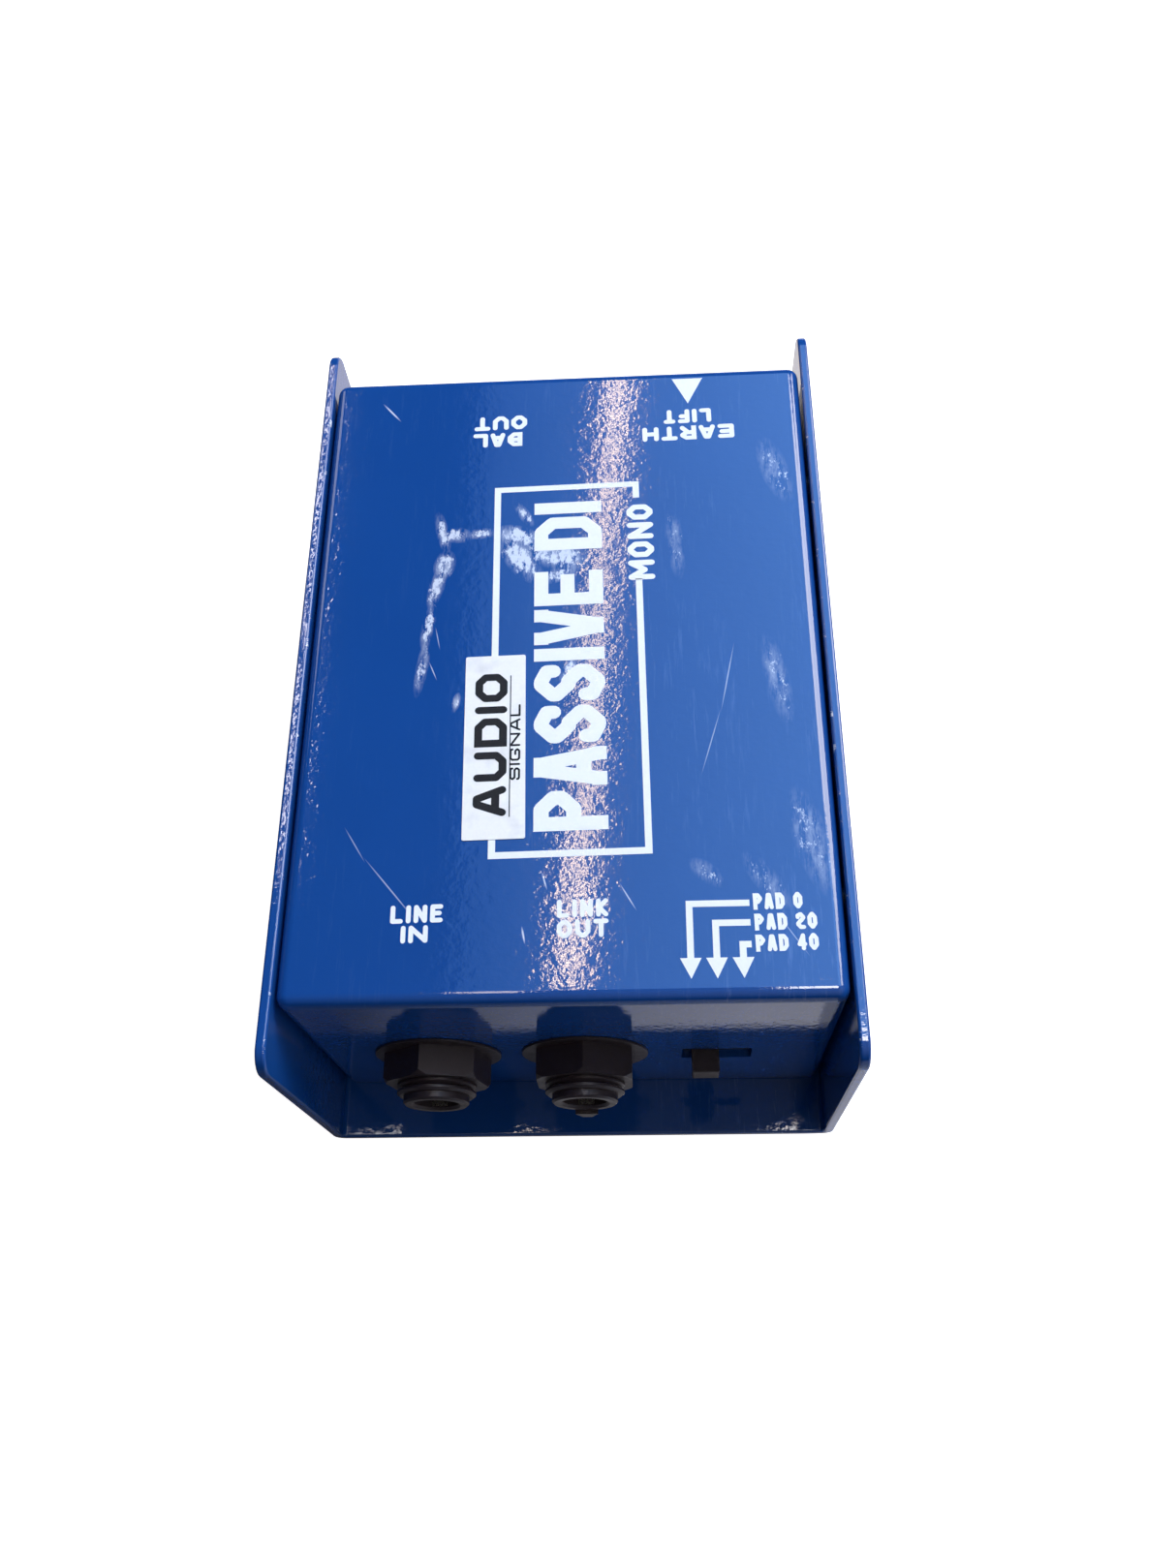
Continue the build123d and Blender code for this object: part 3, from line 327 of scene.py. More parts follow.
def blue_enamel(name, marks=(), scratches=(), chipped_and_glinting=False):
    """Glossy stoved enamel: orange peel, faint rubbed streaks that carry a painted light to the right,
    scuffs, and chipped edges that carry painted glints.
    """
    recipe = Recipe(name, Roughness=0.5, Specular_IOR_Level=0.0, Coat_Weight=1.0, Coat_Roughness=0.05)
    body = recipe.mix(recipe.noise(60.0, 3.0), ENAMEL_DARK, ENAMEL_LIGHT)
    body = rubbing_and_painted_light(recipe, body)
    if marks:
        body = rubbed_places(recipe, body, marks)
    body = scratched_places(recipe, body, scratches)
    if chipped_and_glinting:
        body = chipped_edges_and_glints(recipe, body)
    recipe.feed(body, "Base Color")
    ripple = recipe.noise(1.0, 3.0, 0.55, recipe.stretched((640.0, 800.0, 700.0)))
    peel = recipe.noise(1600.0, 1.0)
    fine = recipe.bump(peel, 0.008, recipe.bump(ripple, 0.019))
    recipe.feed(fine, "Coat Normal")
    recipe.feed(fine, "Normal")
    return recipe.material


def darker(colour, share):
    """A colour with a share of its light."""
    return tuple(channel * share for channel in colour)


def moulded(name, shade, roughness, grain_size=0.3):
    """Moulded plastic or rubber: fine grain, a cloudy gloss and dust in patches."""
    recipe = Recipe(name, Specular_IOR_Level=0.35)
    grain = recipe.noise(1 / (grain_size * MM), 3.0)
    cloud = recipe.noise(400.0, 2.0)
    dust = recipe.remap(recipe.noise(900.0, 5.0, 0.8), 0.60, 0.85, 0.0, 0.25)
    dusty = tuple(channel * 0.8 + 0.08 for channel in shade)
    recipe.feed(recipe.mix(dust, recipe.mix(grain, darker(shade, 0.7), shade), dusty), "Base Color")
    recipe.feed(recipe.remap(cloud, 0.3, 0.7, roughness - 0.06, roughness + 0.08), "Roughness")
    recipe.feed(recipe.bump(grain, 0.02), "Normal")
    return recipe.material


def metal(name, colour, roughness, drawn=None):
    """Plated metal with a fine grain, drawn out along an axis if one is named."""
    recipe = Recipe(name, Metallic=1.0)
    scale = [150.0 if letter == drawn else 2500.0 for letter in "XYZ"]
    grain = recipe.noise(1.0, 3.0, 0.6, recipe.stretched(scale))
    stain = recipe.noise(300.0, 4.0, 0.6)
    body = recipe.mix(grain, darker(colour, 0.72), colour)
    tarnish = tuple(channel * share for channel, share in zip(colour, (0.62, 0.56, 0.48)))
    recipe.feed(recipe.mix(recipe.remap(stain, 0.55, 0.8, 0.0, 0.6), body, tarnish), "Base Color")
    recipe.feed(recipe.remap(grain, 0.2, 0.8, roughness - 0.08, roughness + 0.1), "Roughness")
    recipe.feed(recipe.bump(grain, 0.006), "Normal")
    return recipe.material


def circuit_board():
    """Green solder mask over glass cloth, paler where tracks run below it."""
    recipe = Recipe("circuit_board", Roughness=0.3)
    tracks = recipe.remap(recipe.cell_edges(170.0), 0.10, 0.07)
    thread = 0.9 * MM
    weave = recipe.math("MULTIPLY", recipe.wave("X", thread), recipe.wave("Y", thread))
    mask = recipe.mix(weave, (0.010, 0.085, 0.035), (0.016, 0.110, 0.048))
    body = recipe.mix(tracks, mask, (0.040, 0.210, 0.070))
    recipe.feed(body, "Base Color")
    recipe.feed(recipe.bump(tracks, 0.03), "Normal")
    return recipe.material


TINNED_LEAD = (0.62, 0.60, 0.56)
RESISTOR_X = 22.0 * MM
RESISTOR_SPAN = 10.0 * MM
RESISTOR_BODY = 6.2 * MM
# Each ring starts at a share of the span from lead end to lead end.
RESISTOR_RINGS = (
    (0.26, (0.12, 0.05, 0.02)),
    (0.39, (0.01, 0.01, 0.01)),
    (0.52, (0.65, 0.05, 0.02)),
    (0.70, (0.60, 0.42, 0.10)),
)
RING_WIDTH = 0.06


def resistor():
    """Beige lacquer with colour rings, between tinned leads."""
    recipe = Recipe("resistor", Roughness=0.35)
    from_middle = recipe.math("SUBTRACT", recipe.absolute(recipe.axis("X")), RESISTOR_X)
    along = recipe.remap(from_middle, -RESISTOR_SPAN / 2, RESISTOR_SPAN / 2)
    beige = (0.55, 0.40, 0.24)
    body_start = (1 - RESISTOR_BODY / RESISTOR_SPAN) / 2
    stops = [(0.0, TINNED_LEAD), (body_start, beige)]
    for start, colour in RESISTOR_RINGS:
        stops += [(start, colour), (start + RING_WIDTH, beige)]
    stops.append((1 - body_start, TINNED_LEAD))
    dirt = recipe.remap(recipe.noise(2500.0, 3.0), 0.3, 0.7, 0.0, 0.2)
    recipe.feed(recipe.mix(dirt, recipe.bands(along, stops), (0.2, 0.15, 0.1)), "Base Color")
    body_end = RESISTOR_BODY / 2
    recipe.feed(recipe.remap(recipe.absolute(from_middle), body_end, body_end + 0.05 * MM), "Metallic")
    return recipe.material


LEAD_LENGTH = 0.3 * MM
LEAD_FADE = 0.1 * MM


def film_capacitor():
    """Dipped red lacquer above tinned leads."""
    recipe = Recipe("film_capacitor", Roughness=0.25)
    lead_top = BOARD_TOP + LEAD_LENGTH
    lead = recipe.remap(recipe.axis("Z"), lead_top + LEAD_FADE, lead_top)
    lacquer = recipe.mix(recipe.noise(700.0, 3.0), (0.30, 0.035, 0.015), (0.42, 0.060, 0.025))
    recipe.feed(recipe.mix(lead, lacquer, TINNED_LEAD), "Base Color")
    recipe.feed(lead, "Metallic")
    recipe.feed(recipe.bump(recipe.noise(500.0, 2.0), 0.04), "Normal")
    return recipe.material


def laminated_core():
    """Transformer steel: thin sheets stacked front to back, oiled and a little rusty."""
    recipe = Recipe("laminated_core", Metallic=0.8, Roughness=0.4)
    sheets = recipe.wave("Y", 0.5 * MM)
    steel = recipe.mix(recipe.noise(1200.0, 3.0), (0.16, 0.15, 0.15), (0.26, 0.25, 0.24))
    body = recipe.mix(recipe.remap(sheets, 0.75, 0.95, 0.0, 0.8), steel, (0.03, 0.03, 0.03))
    rust = recipe.remap(recipe.noise(350.0, 5.0, 0.7), 0.58, 0.75, 0.0, 0.7)
    recipe.feed(recipe.mix(rust, body, (0.20, 0.08, 0.03)), "Base Color")
    recipe.feed(recipe.bump(sheets, 0.04), "Normal")
    return recipe.material


def wound_tape():
    """Yellow polyester tape in overlapping turns over the windings."""
    recipe = Recipe("wound_tape", Roughness=0.25)
    laps = recipe.remap(recipe.wave("Z", 3.9 * MM, 0.3), 0.90, 0.98)
    wires = recipe.wave("Z", 0.35 * MM)
    body = recipe.mix(recipe.noise(250.0, 3.0), (0.62, 0.36, 0.03), (0.72, 0.46, 0.06))
    recipe.feed(recipe.mix(laps, body, (0.42, 0.22, 0.02)), "Base Color")
    recipe.feed(recipe.bump(laps, 0.05, recipe.bump(wires, 0.02)), "Normal")
    return recipe.material


def phenolic():
    """Brown paper laminate with its fibres showing."""
    recipe = Recipe("phenolic", Roughness=0.5)
    fibres = recipe.noise(1.0, 5.0, 0.7, recipe.stretched((500.0, 500.0, 3500.0)))
    recipe.feed(recipe.mix(fibres, (0.16, 0.065, 0.020), (0.30, 0.140, 0.050)), "Base Color")
    recipe.feed(recipe.bump(fibres, 0.02), "Normal")
    return recipe.material


def insulation(name, shade):
    """Soft wire insulation with a slight ripple along the wire."""
    recipe = Recipe(name, Roughness=0.38)
    ripple = recipe.noise(1.0, 3.0, 0.5, recipe.stretched((900.0, 300.0, 900.0)))
    recipe.feed(recipe.mix(ripple, darker(shade, 0.8), shade), "Base Color")
    recipe.feed(recipe.bump(ripple, 0.03), "Normal")
    return recipe.material


def printing_ink(name, dark, light, roughness):
    """Flat screen ink with a fine speckle."""
    recipe = Recipe(name, Roughness=roughness, Specular_IOR_Level=0.2)
    speckle = recipe.noise(2500.0, 3.0)
    recipe.feed(recipe.mix(speckle, dark, light), "Base Color")
    recipe.feed(recipe.bump(speckle, 0.004), "Normal")
    return recipe.material


def label_paper():
    """Coated white paper, dulled and finger-marked in places."""
    recipe = Recipe("label_paper", Roughness=0.4)
    paper = recipe.mix(recipe.noise(2500.0, 2.0), (0.90, 0.86, 0.81), (0.98, 0.95, 0.90))
    stain = recipe.remap(recipe.noise(220.0, 3.0), 0.55, 0.85)
    recipe.feed(recipe.mix(stain, paper, (0.72, 0.69, 0.67)), "Base Color")
    recipe.feed(recipe.bump(recipe.noise(150.0, 2.0), 0.03), "Normal")
    return recipe.material


white_ink = printing_ink("white_ink", (0.90, 0.90, 0.90), (0.98, 0.98, 0.98), 0.5)
black_ink = printing_ink("black_ink", (0.004, 0.004, 0.006), (0.012, 0.012, 0.015), 0.6)
FINISHES = {
    "screw_steel": metal("zinc_plate", (0.62, 0.62, 0.64), 0.32),
    "label_paper": label_paper(),
    "foot_rubber": moulded("foot_rubber", (0.022, 0.021, 0.021), 0.75, 0.5),
    "jack_plastic": moulded("jack_plastic", (0.042, 0.029, 0.033), 0.42),
    "nut_plastic": moulded("nut_plastic", (0.044, 0.031, 0.036), 0.42),
    "knob_plastic": moulded("knob_plastic", (0.036, 0.024, 0.026), 0.62),
    "insert_plastic": moulded("insert_plastic", (0.018, 0.018, 0.019), 0.45),
    "bobbin_plastic": moulded("bobbin_plastic", (0.55, 0.50, 0.40), 0.45),
    "contact_metal": metal("tinned_brass", (0.66, 0.62, 0.54), 0.28),
    "pin_metal": metal("silver_plate", (0.82, 0.79, 0.72), 0.18, "Y"),
    "frame_steel": metal("frame_steel", (0.56, 0.56, 0.57), 0.36, "X"),
    "shell_metal": metal("satin_nickel", (0.60, 0.58, 0.55), 0.38),
    "board": circuit_board(),
    "resistor_body": resistor(),
    "capacitor_body": film_capacitor(),
    "core_steel": laminated_core(),
    "winding_tape": wound_tape(),
    "phenolic": phenolic(),
    "wire_signal": insulation("wire_signal", (0.50, 0.05, 0.03)),
    "wire_lift": insulation("wire_lift", (0.05, 0.22, 0.06)),
}
PAINTED = {
    "top_cover": blue_enamel("cover_enamel", marks=RUBS, scratches=SCRATCHES),
    "base_chassis": blue_enamel("chassis_enamel", chipped_and_glinting=True),
}
slot_of = {entry["node"]: entry["material_slot"] for entry in frame["record"]["subparts"]}
for name, node in nodes.items():
    node.data.materials.clear()
    node.data.materials.append(PAINTED.get(name) or FINISHES[slot_of[name]])


# ---------------------------------------------------------------- printed legend
INK = 0.03 * MM
# The whole print sits a little askew on the cover.
PRINT_TURN = math.radians(0.85)

# Each letter is one or more strokes along the middle of its line, in a unit box.
STROKES = {
    "A": [[(0, 0), (0.38, 1), (0.62, 1), (1, 0)], [(0.2, 0.27), (0.8, 0.27)]],
    "B": [[(0, 0), (0, 1), (1, 1), (1, 0), (0, 0)], [(0, 0.52), (1, 0.52)]],
    "D": [[(0, 0), (0, 1), (1, 1), (1, 0), (0, 0)]],
    "E": [[(1, 1), (0, 1), (0, 0), (1, 0)], [(0, 0.52), (0.85, 0.52)]],
    "F": [[(1, 1), (0, 1), (0, 0)], [(0, 0.5), (0.85, 0.5)]],
    "G": [[(1, 0.78), (1, 1), (0, 1), (0, 0), (1, 0), (1, 0.45), (0.55, 0.45)]],
    "H": [[(0, 0), (0, 1)], [(1, 0), (1, 1)], [(0, 0.5), (1, 0.5)]],
    "I": [[(0.5, 0), (0.5, 1)]],
    "K": [[(0, 0), (0, 1)], [(1, 1), (0.1, 0.5), (1, 0)]],
    "L": [[(0, 1), (0, 0), (1, 0)]],
    "M": [[(0, 0), (0, 1), (0.5, 0.35), (1, 1), (1, 0)]],
    "N": [[(0, 0), (0, 1), (1, 0), (1, 1)]],
    "O": [[(0, 0), (0, 1), (1, 1), (1, 0), (0, 0)]],
    "P": [[(0, 0), (0, 1), (1, 1), (1, 0.45), (0, 0.45)]],
    "R": [[(0, 0), (0, 1), (1, 1), (1, 0.47), (0, 0.47)], [(0.5, 0.47), (1, 0)]],
    "S": [[(1, 0.78), (1, 1), (0, 1), (0, 0.52), (1, 0.52), (1, 0), (0, 0), (0, 0.22)]],
    "T": [[(0.5, 0), (0.5, 1)], [(0, 1), (1, 1)]],
    "U": [[(0, 1), (0, 0), (1, 0), (1, 1)]],
    "V": [[(0, 1), (0.42, 0), (0.58, 0), (1, 1)]],
    "0": [[(0, 0), (0, 1), (1, 1), (1, 0), (0, 0)]],
    "2": [[(0, 0.78), (0, 1), (1, 1), (1, 0.5), (0, 0.5), (0, 0), (1, 0)]],
    "4": [[(0.72, 0), (0.72, 1), (0, 0.32), (1, 0.32)]],
}
ROUND_LETTERS = "BDGOPRSU02"
# Letters whose left side stays square, over this share of their width.
STRAIGHT_BACKED = "BDPR"
BACK_SHARE = 0.1
# How much a corner cut takes: in strokes, and at most of a line's length.
CORNER_CUT = 0.8
LONGEST_CUT = 0.45
DISC_CORNERS = 12
# Far enough past a letter to be outside it, in millimetres.
BEYOND = 1.0
# How wide a letter is against most others.
WIDTHS = {"I": 0.0, " ": 0.1, "M": 1.35, "N": 1.1}


def clipped(points, cut, keep):
    """A stroke with its square corners cut off, except those left of keep."""
    closed = points[0] == points[-1]
    ring = points[:-1] if closed else points
    result = [] if closed else [ring[0]]
    count = len(ring)
    for index in range(count) if closed else range(1, count - 1):
        before, corner, after = (Vector(ring[(index + k) % count]) for k in (-1, 0, 1))
        if corner.x <= keep:
            result.append(tuple(corner))
            continue
        for other in (before, after):
            step = min(cut, (other - corner).length * LONGEST_CUT)
            result.append(tuple(corner + (other - corner).normalized() * step))
    result.append(result[0] if closed else ring[-1])
    return result


def spot(middle, radius, square):
    """What fills the joint of two strokes or ends one: a square or a disc."""
    count = 4 if square else DISC_CORNERS
    reach = radius * math.sqrt(2) if square else radius
    turns = [math.pi / 4 + 2 * math.pi * index / count for index in range(count)]
    return [middle + Vector((math.cos(turn), math.sin(turn))) * reach for turn in turns]


def stroke_shapes(points, width, square_from, square_to):
    """The flat shapes that cover one stroke; its joints are square over a range of x."""
    line = [Vector(point) for point in points]
    shapes = [spot(point, width / 2, square_from <= point.x <= square_to) for point in line]
    for start, end in zip(line, line[1:]):
        side = (end - start).orthogonal().normalized() * width / 2
        shapes.append([start + side, start - side, end - side, end + side])
    return shapes


def word_shapes(text, length, height, stroke, gap, square):
    """The strokes of a word in capitals, centred on (0, 0), in millimetres."""
    shares = [WIDTHS.get(letter, 1.0) for letter in text]
    free = length - stroke * len(text) - gap * (len(text) - 1)
    unit = free / sum(shares)
    shapes = []
    left = (stroke - length) / 2
    for letter, share in zip(text, shares):
        width = unit * share
        for points in STROKES.get(letter, []):
            placed = [(left + x * width, (y - 0.5) * (height - stroke)) for x, y in points]
            keep = left + (BACK_SHARE * width if letter in STRAIGHT_BACKED else -BEYOND)
            squared = (left - BEYOND, keep)
            if letter in ROUND_LETTERS:
                placed = clipped(placed, stroke * CORNER_CUT, keep)
            elif square:
                squared = (left - BEYOND, left + width + BEYOND)
            shapes.extend(stroke_shapes(placed, stroke, *squared))
        left += width + stroke + gap
    return shapes


def turned_left(shape):
    """The corners of a flat convex shape, counter-clockwise."""
    corners = [Vector(point) for point in shape]
    area = sum(a.x * b.y - b.x * a.y for a, b in zip(corners, corners[1:] + corners[:1]))
    return corners if area > 0 else corners[::-1]


def inside(point, corners):
    """Whether a point is within a counter-clockwise convex outline."""
    sides = zip(corners, corners[1:] + corners[:1])
    return all((b - a).x * (point - a).y - (b - a).y * (point - a).x > 0 for a, b in sides)


# Corners nearer than this, in millimetres, count as one.
SAME_PLACE = 1e-4


def merged(shapes):
    """One flat mesh, as points and triangles, that covers what the convex shapes cover."""
    outlines = [turned_left(shape) for shape in shapes]
    points = [corner for outline in outlines for corner in outline]
    edges = []
    for outline in outlines:
        first = len(edges)
        edges.extend((first + index, first + (index + 1) % len(outline)) for index in range(len(outline)))
    points, _, cells, *_ = delaunay_2d_cdt(points, edges, [], 0, SAME_PLACE, False)
    middles = [sum((points[index] for index in cell), Vector((0, 0))) / len(cell) for cell in cells]
    covered = [any(inside(middle, outline) for outline in outlines) for middle in middles]
    return points, [cell for cell, kept in zip(cells, covered) if kept]


def printed(name, shapes, middle=(0, 0), turn=0.0, finish=white_ink, on=COVER_TOP):
    """A thin layer of ink in the outline of flat shapes, which are in millimetres."""
    points, cells = merged(shapes)
    spin = Matrix.Rotation(turn, 2)
    build = bmesh.new()
    corners = []
    for point in points:
        place = (spin @ point + Vector(middle)) * MM
        corners.append(build.verts.new((place.x, place.y, on)))
    for cell in cells:
        build.faces.new([corners[index] for index in cell])
    bmesh.ops.delete(build, geom=[v for v in build.verts if not v.link_faces], context="VERTS")
    bmesh.ops.recalc_face_normals(build, faces=build.faces)
    raised = bmesh.ops.extrude_face_region(build, geom=build.faces[:])
    upper = [part for part in raised["geom"] if isinstance(part, bmesh.types.BMVert)]
    bmesh.ops.translate(build, vec=(0, 0, INK), verts=upper)
    bmesh.ops.recalc_face_normals(build, faces=build.faces)
    mesh = bpy.data.meshes.new(name)
    build.to_mesh(mesh)
    build.free()
    piece = bpy.data.objects.new(name, mesh)
    bpy.context.scene.collection.objects.link(piece)
    mesh.materials.append(finish)
    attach(piece, "box")


def printed_word(name, text, middle, length, height, stroke, turn=0.0, gap=0.4, square=False, **more):
    """A word in capitals, centred on a place on the cover and turned about Z."""
    shapes = word_shapes(text, length, height, stroke, gap, square)
    printed(name, shapes, middle, math.radians(turn) + PRINT_TURN, **more)


def bar(left, front, right, rear):
    """Corners of a rectangle."""
    return [(left, front), (right, front), (right, rear), (left, rear)]


# Ways a word can be turned, in degrees, and the strokes of the small words, in millimetres.
SIDEWAYS = 90
UPSIDE_DOWN = 180
SMALL_STROKE = 0.66
REAR_STROKE = 0.78
PAD_STROKE = 0.56
# For each word: its middle, length, height and stroke.
printed_word("title_print", "PASSIVE DI", (0.97, -0.26), 56.2, 10.5, 2.15, SIDEWAYS, gap=0.7, square=True)
printed_word("model_print", "MONO", (11.85, 19.9), 14.0, 4.1, 0.95, SIDEWAYS, gap=0.55)
printed_word("in_print_1", "LINE", (-19.58, -40.2), 7.2, 2.6, SMALL_STROKE)
printed_word("in_print_2", "IN", (-19.76, -43.1), 3.7, 2.5, SMALL_STROKE)
printed_word("out_print_1", "LINK", (3.03, -39.8), 6.95, 2.6, SMALL_STROKE)
printed_word("out_print_2", "OUT", (3.06, -42.7), 7.0, 2.6, SMALL_STROKE)
PAD_TEXT = (("PAD 0", (29.3, -39.3), 6.6), ("PAD 20", (30.2, -42.2), 8.3), ("PAD 40", (30.2, -45.15), 8.3))
for text, middle, length in PAD_TEXT:
    name = text.lower().replace(" ", "_") + "_print"
    printed_word(name, text, middle, length, 2.35, PAD_STROKE, gap=0.26)
printed_word("rear_print_1", "OUT", (-10.5, 44.15), 8.6, 2.8, REAR_STROKE, UPSIDE_DOWN)
printed_word("rear_print_2", "BAL", (-10.9, 40.7), 8.0, 2.8, REAR_STROKE, UPSIDE_DOWN)
printed_word("lift_print_1", "LIFT", (19.8, 44.15), 7.7, 2.8, REAR_STROKE, UPSIDE_DOWN)
printed_word("lift_print_2", "EARTH", (19.85, 40.75), 14.7, 2.8, REAR_STROKE, UPSIDE_DOWN)

# The outline round the title, which is open beside the second word.
LINE = 1.0
FRAME_LEFT, FRAME_RIGHT = -10.6, 12.2
FRAME_FRONT, FRAME_REAR = -32.25, 31.25
GAP_FRONT, GAP_REAR = 12.9, 28.1
printed("outline_print", [
    bar(FRAME_LEFT, FRAME_REAR - LINE, FRAME_RIGHT, FRAME_REAR),
    bar(FRAME_RIGHT - LINE, GAP_REAR, FRAME_RIGHT, FRAME_REAR),
    bar(FRAME_LEFT, FRAME_FRONT, FRAME_RIGHT, FRAME_FRONT + LINE),
    bar(FRAME_RIGHT - LINE, FRAME_FRONT, FRAME_RIGHT, GAP_FRONT),
    bar(FRAME_LEFT, FRAME_FRONT, FRAME_LEFT + LINE, FRAME_REAR),
], turn=PRINT_TURN)
# An arrow from each pad word to the place of the knob; places are the tip's X and the word's Y.
ARROW_PLACES = ((17.4, -39.06), (20.85, -41.83), (24.35, -44.87))
ARROW_END = 25.5
ARROW_LINE = 0.9
HEAD_HALF = 1.43
HEAD_BASE, HEAD_TIP = -47.1, -49.95
arrows = []
for tip_x, level in ARROW_PLACES:
    arrows.append(bar(tip_x - ARROW_LINE / 2, HEAD_BASE, tip_x + ARROW_LINE / 2, level))
    arrows.append(bar(tip_x - ARROW_LINE / 2, level - ARROW_LINE, ARROW_END, level))
    arrows.append([(tip_x - HEAD_HALF, HEAD_BASE), (tip_x, HEAD_TIP), (tip_x + HEAD_HALF, HEAD_BASE)])
printed("arrow_print", arrows)
LIFT_MARK = [(17.5, 51.95), (22.45, 51.95), (19.97, 46.76)]
printed("lift_mark_print", [LIFT_MARK])

on_label = {"finish": black_ink, "on": LABEL_TOP}
printed_word("label_print_1", "AUDIO", (-10.3, -14.5), 23.0, 4.75, 1.15, SIDEWAYS, gap=0.8, **on_label)
printed_word("label_print_2", "SIGNAL", (-6.75, -14.3), 12.2, 1.55, 0.30, SIDEWAYS, **on_label)
printed("label_rule_print", [bar(-7.75, -26.0, -7.6, -3.2)], turn=PRINT_TURN, **on_label)


# ---------------------------------------------------------------- stage
def panel_light(name, place, size, strength):
    """A soft rectangle aimed at the origin; strength is its brightness seen in a reflection."""
    data = bpy.data.lights.new(name, "AREA")
    data.shape = "RECTANGLE"
    data.size, data.size_y = size
    data.energy = strength * math.pi * size[0] * size[1]
    light = bpy.data.objects.new(name, data)
    bpy.context.scene.collection.objects.link(light)
    light.location = place
    light.rotation_mode = "QUATERNION"
    light.rotation_quaternion = (-Vector(place)).to_track_quat("-Z", "Y")


def stage_sheet(name, corners, material):
    """A flat sheet that belongs to the studio."""
    mesh = bpy.data.meshes.new(name)
    mesh.from_pydata(corners, [], [range(len(corners))])
    mesh.materials.append(material)
    sheet = bpy.data.objects.new(name, mesh)
    bpy.context.scene.collection.objects.link(sheet)
    return sheet


def flat(left, front, right, rear, height, lean=0.0):
    """Corners of a level sheet whose rear edge is shifted to the right by lean."""
    return [(left, front, height), (right, front, height),
            (right + lean, rear, height), (left + lean, rear, height)]


# How the room's light changes with each axis of a direction: over what stretch, from and to what.
SKY = (
    ("X", (-0.35, 0.35), (0.05, 1.00)),
    ("Y", (0.50, -0.10), (0.05, 0.65)),
    ("Z", (0.25, 0.75), (0.00, 1.00)),
)


def dim_sky():
    """A dim room, brighter in front and to the right, and dark up to a little above the bench."""
    world = bpy.data.worlds.new("studio")
    world.use_nodes = True
    tree = world.node_tree
    split = tree.nodes.new("ShaderNodeSeparateXYZ")
    tree.links.new(tree.nodes.new("ShaderNodeTexCoord").outputs["Generated"], split.inputs["Vector"])
    background = tree.nodes["Background"]
    background.inputs["Color"].default_value = (0.94, 0.96, 1.0, 1.0)
    brightness = None
    for letter, (low, high), (darkest, brightest) in SKY:
        share = tree.nodes.new("ShaderNodeMapRange")
        share.inputs["From Min"].default_value = low
        share.inputs["From Max"].default_value = high
        share.inputs["To Min"].default_value = darkest
        share.inputs["To Max"].default_value = brightest
        tree.links.new(split.outputs[letter], share.inputs["Value"])
        if brightness is None:
            brightness = share.outputs["Result"]
            continue
        product = tree.nodes.new("ShaderNodeMath")
        product.operation = "MULTIPLY"
        tree.links.new(brightness, product.inputs[0])
        tree.links.new(share.outputs["Result"], product.inputs[1])
        brightness = product.outputs["Value"]
    tree.links.new(brightness, background.inputs["Strength"])
    return world


bpy.context.scene.world = dim_sky()

FLOOR_HALF = 3.0
FLOOR_CORNERS = flat(-FLOOR_HALF, -FLOOR_HALF, FLOOR_HALF, FLOOR_HALF, 0)
BLACK = (0.0, 0.0, 0.0, 1.0)
WHITE = (1.0, 1.0, 1.0, 1.0)


def not_a_light(sheet):
    """Keep a bright sheet out of the light sampling, so that the real lights stay clean."""
    sheet.data.materials[0].cycles.emission_sampling = "NONE"
    sheet.visible_diffuse = False
    sheet.visible_shadow = False


def only_for_camera(sheet):
    """Hide a sheet from everything but the camera."""
    not_a_light(sheet)
    sheet.visible_glossy = False


def white_room():
    """White walls all round, far off, which only the camera sees."""
    build = bmesh.new()
    bmesh.ops.create_cube(build, size=3 * FLOOR_HALF)
    mesh = bpy.data.meshes.new("white_room")
    build.to_mesh(mesh)
    build.free()
    walls = Recipe("white_room", Base_Color=BLACK, Emission_Color=WHITE, Emission_Strength=1.0)
    mesh.materials.append(walls.material)
    room = bpy.data.objects.new("white_room", mesh)
    bpy.context.scene.collection.objects.link(room)
    only_for_camera(room)


def white_sweep():
    """A white floor for the camera alone, and clear from below, so that the underside shows."""
    paint = Recipe("sweep", Roughness=1.0, Base_Color=(0.9, 0.9, 0.9, 1.0),
                   Emission_Color=WHITE, Emission_Strength=0.92)
    side = paint.node("MixShader")
    paint.link(paint.node("NewGeometry").outputs["Backfacing"], side.inputs["Fac"])
    paint.link(paint.shader.outputs["BSDF"], side.inputs[1])
    paint.link(paint.node("BsdfTransparent").outputs["BSDF"], side.inputs[2])
    paint.link(side.outputs["Shader"], paint.tree.nodes["Material Output"].inputs["Surface"])
    only_for_camera(stage_sheet("sweep", FLOOR_CORNERS, paint.material))


def bench_top():
    """The bench that the object mirrors, out of the camera's sight: dark at left, pale at right, a painted
    shade on its left.
    """
    paint = Recipe("bench", Roughness=0.8)
    # Painted shade: the bench is coloured dark on the left, where it lies in shade.
    painted_light_to_right = paint.remap(paint.axis("X"), -50 * MM, 30 * MM)
    paint.feed(paint.mix(painted_light_to_right, (0.12, 0.12, 0.14), (0.80, 0.78, 0.78)), "Base Color")
    sheet = stage_sheet("bench", FLOOR_CORNERS, paint.material)
    sheet.visible_camera = False
    sheet.visible_shadow = False


white_room()
white_sweep()
bench_top()


def glow(name, corners, colour, strength):
    """A bright sheet out of the camera's sight; strength is a number or made from the recipe."""
    recipe = Recipe(name, Base_Color=BLACK, Emission_Color=(*colour, 1.0))
    if callable(strength):
        recipe.feed(strength(recipe), "Emission Strength")
    else:
        recipe.shader.inputs["Emission Strength"].default_value = strength
    sheet = stage_sheet(name, corners, recipe.material)
    sheet.visible_camera = False
    return sheet


def card(name, corners, colour, strength):
    """A bright sheet that lights nothing and only shows in reflections."""
    not_a_light(glow(name, corners, colour, strength))


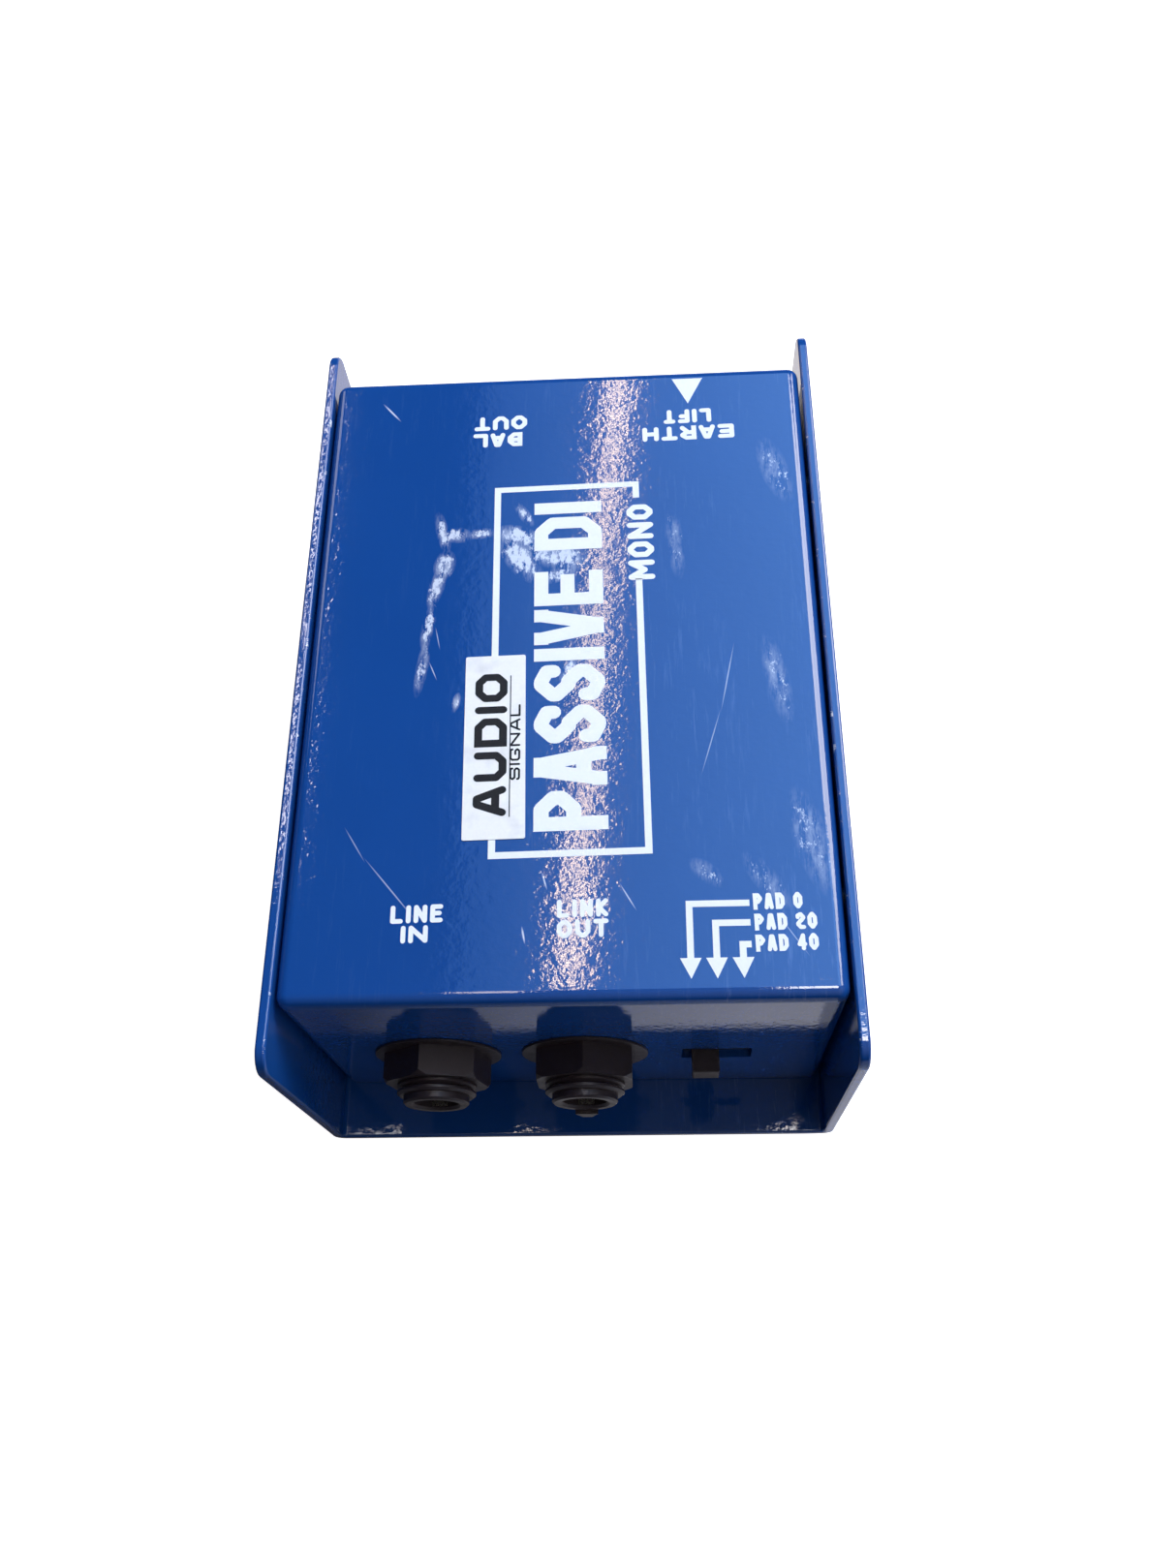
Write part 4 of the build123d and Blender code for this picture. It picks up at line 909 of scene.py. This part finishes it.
def haze_strength(recipe):
    """Brighter to the right."""
    return recipe.remap(recipe.axis("X"), -0.17, 0.40, 1.3, 8.0)


TUBE_MIDDLE = 0.58


def tube_strength(recipe):
    """A little dimmer in the middle than at both ends."""
    past_middle = recipe.absolute(recipe.math("SUBTRACT", recipe.axis("Y"), TUBE_MIDDLE))
    return recipe.remap(past_middle, 0.05, 0.30, 28.0, 40.0)


def front_glow_strength(recipe):
    """Brighter to the right."""
    return recipe.remap(recipe.axis("X"), -40 * MM, 30 * MM, 0.04, 0.68)


# A blue haze overhead, which grows brighter to the right.
glow("haze", flat(-0.17, 0.15, 0.50, 1.0, 1.0), (0.25, 0.50, 0.94), haze_strength)
# A warm lamp tube above and behind, which the cover mirrors as a streak, and its halo.
glow("tube", flat(-0.074, 0.215, -0.062, 0.97, 0.98, 0.054), (1.0, 0.75, 0.50), tube_strength)
glow("halo", flat(-0.125, 0.15, -0.015, 0.97, 1.02, 0.050), (1.0, 0.80, 0.70), 1.2)
# Cards overhead, which show as bright lines in the rounded edges of the cover and the walls.
CARD_HEIGHT = 0.95
NEUTRAL = (1.0, 0.98, 0.97)
ROSY = (1.0, 0.95, 0.96)
card("edge_card", flat(0.28, 0.38, 0.52, 0.92, CARD_HEIGHT), NEUTRAL, 12.0)
card("rim_card", flat(-0.346, 0.33, -0.330, 0.95, CARD_HEIGHT), ROSY, 24.0)
card("corner_card", flat(0.115, -0.10, 0.195, 0.17, CARD_HEIGHT), NEUTRAL, 22.0)
card("lamp_end_card", flat(-0.155, -0.06, -0.100, 0.165, CARD_HEIGHT), (1.0, 0.84, 0.72), 11.0)
# Glowing sheets lying on the bench, seen only in reflections: painted reflections of pale paper. The front
# panel mirrors one in front, and the walls' rear ends mirror the other behind.
GLOW_CARD_HEIGHT = 0.5 * MM
card("front_glow_card", flat(-0.042, -0.080, 0.046, -0.0622, GLOW_CARD_HEIGHT), (0.95, 0.94, 1.0), front_glow_strength)
card("rear_glow_card", flat(-0.042, 0.068, 0.042, 0.200, GLOW_CARD_HEIGHT), ROSY, 1.0)

# The key light is behind to the right, the fill behind to the left, and one is for the underside.
panel_light("key", (0.85, 0.65, 0.95), (0.70, 0.80), 10.2)
panel_light("fill", (-0.9, 0.9, 0.8), (0.5, 0.5), 3.0)
panel_light("under", (0.0, 0.0, -0.6), (0.07, 0.07), 55.0)
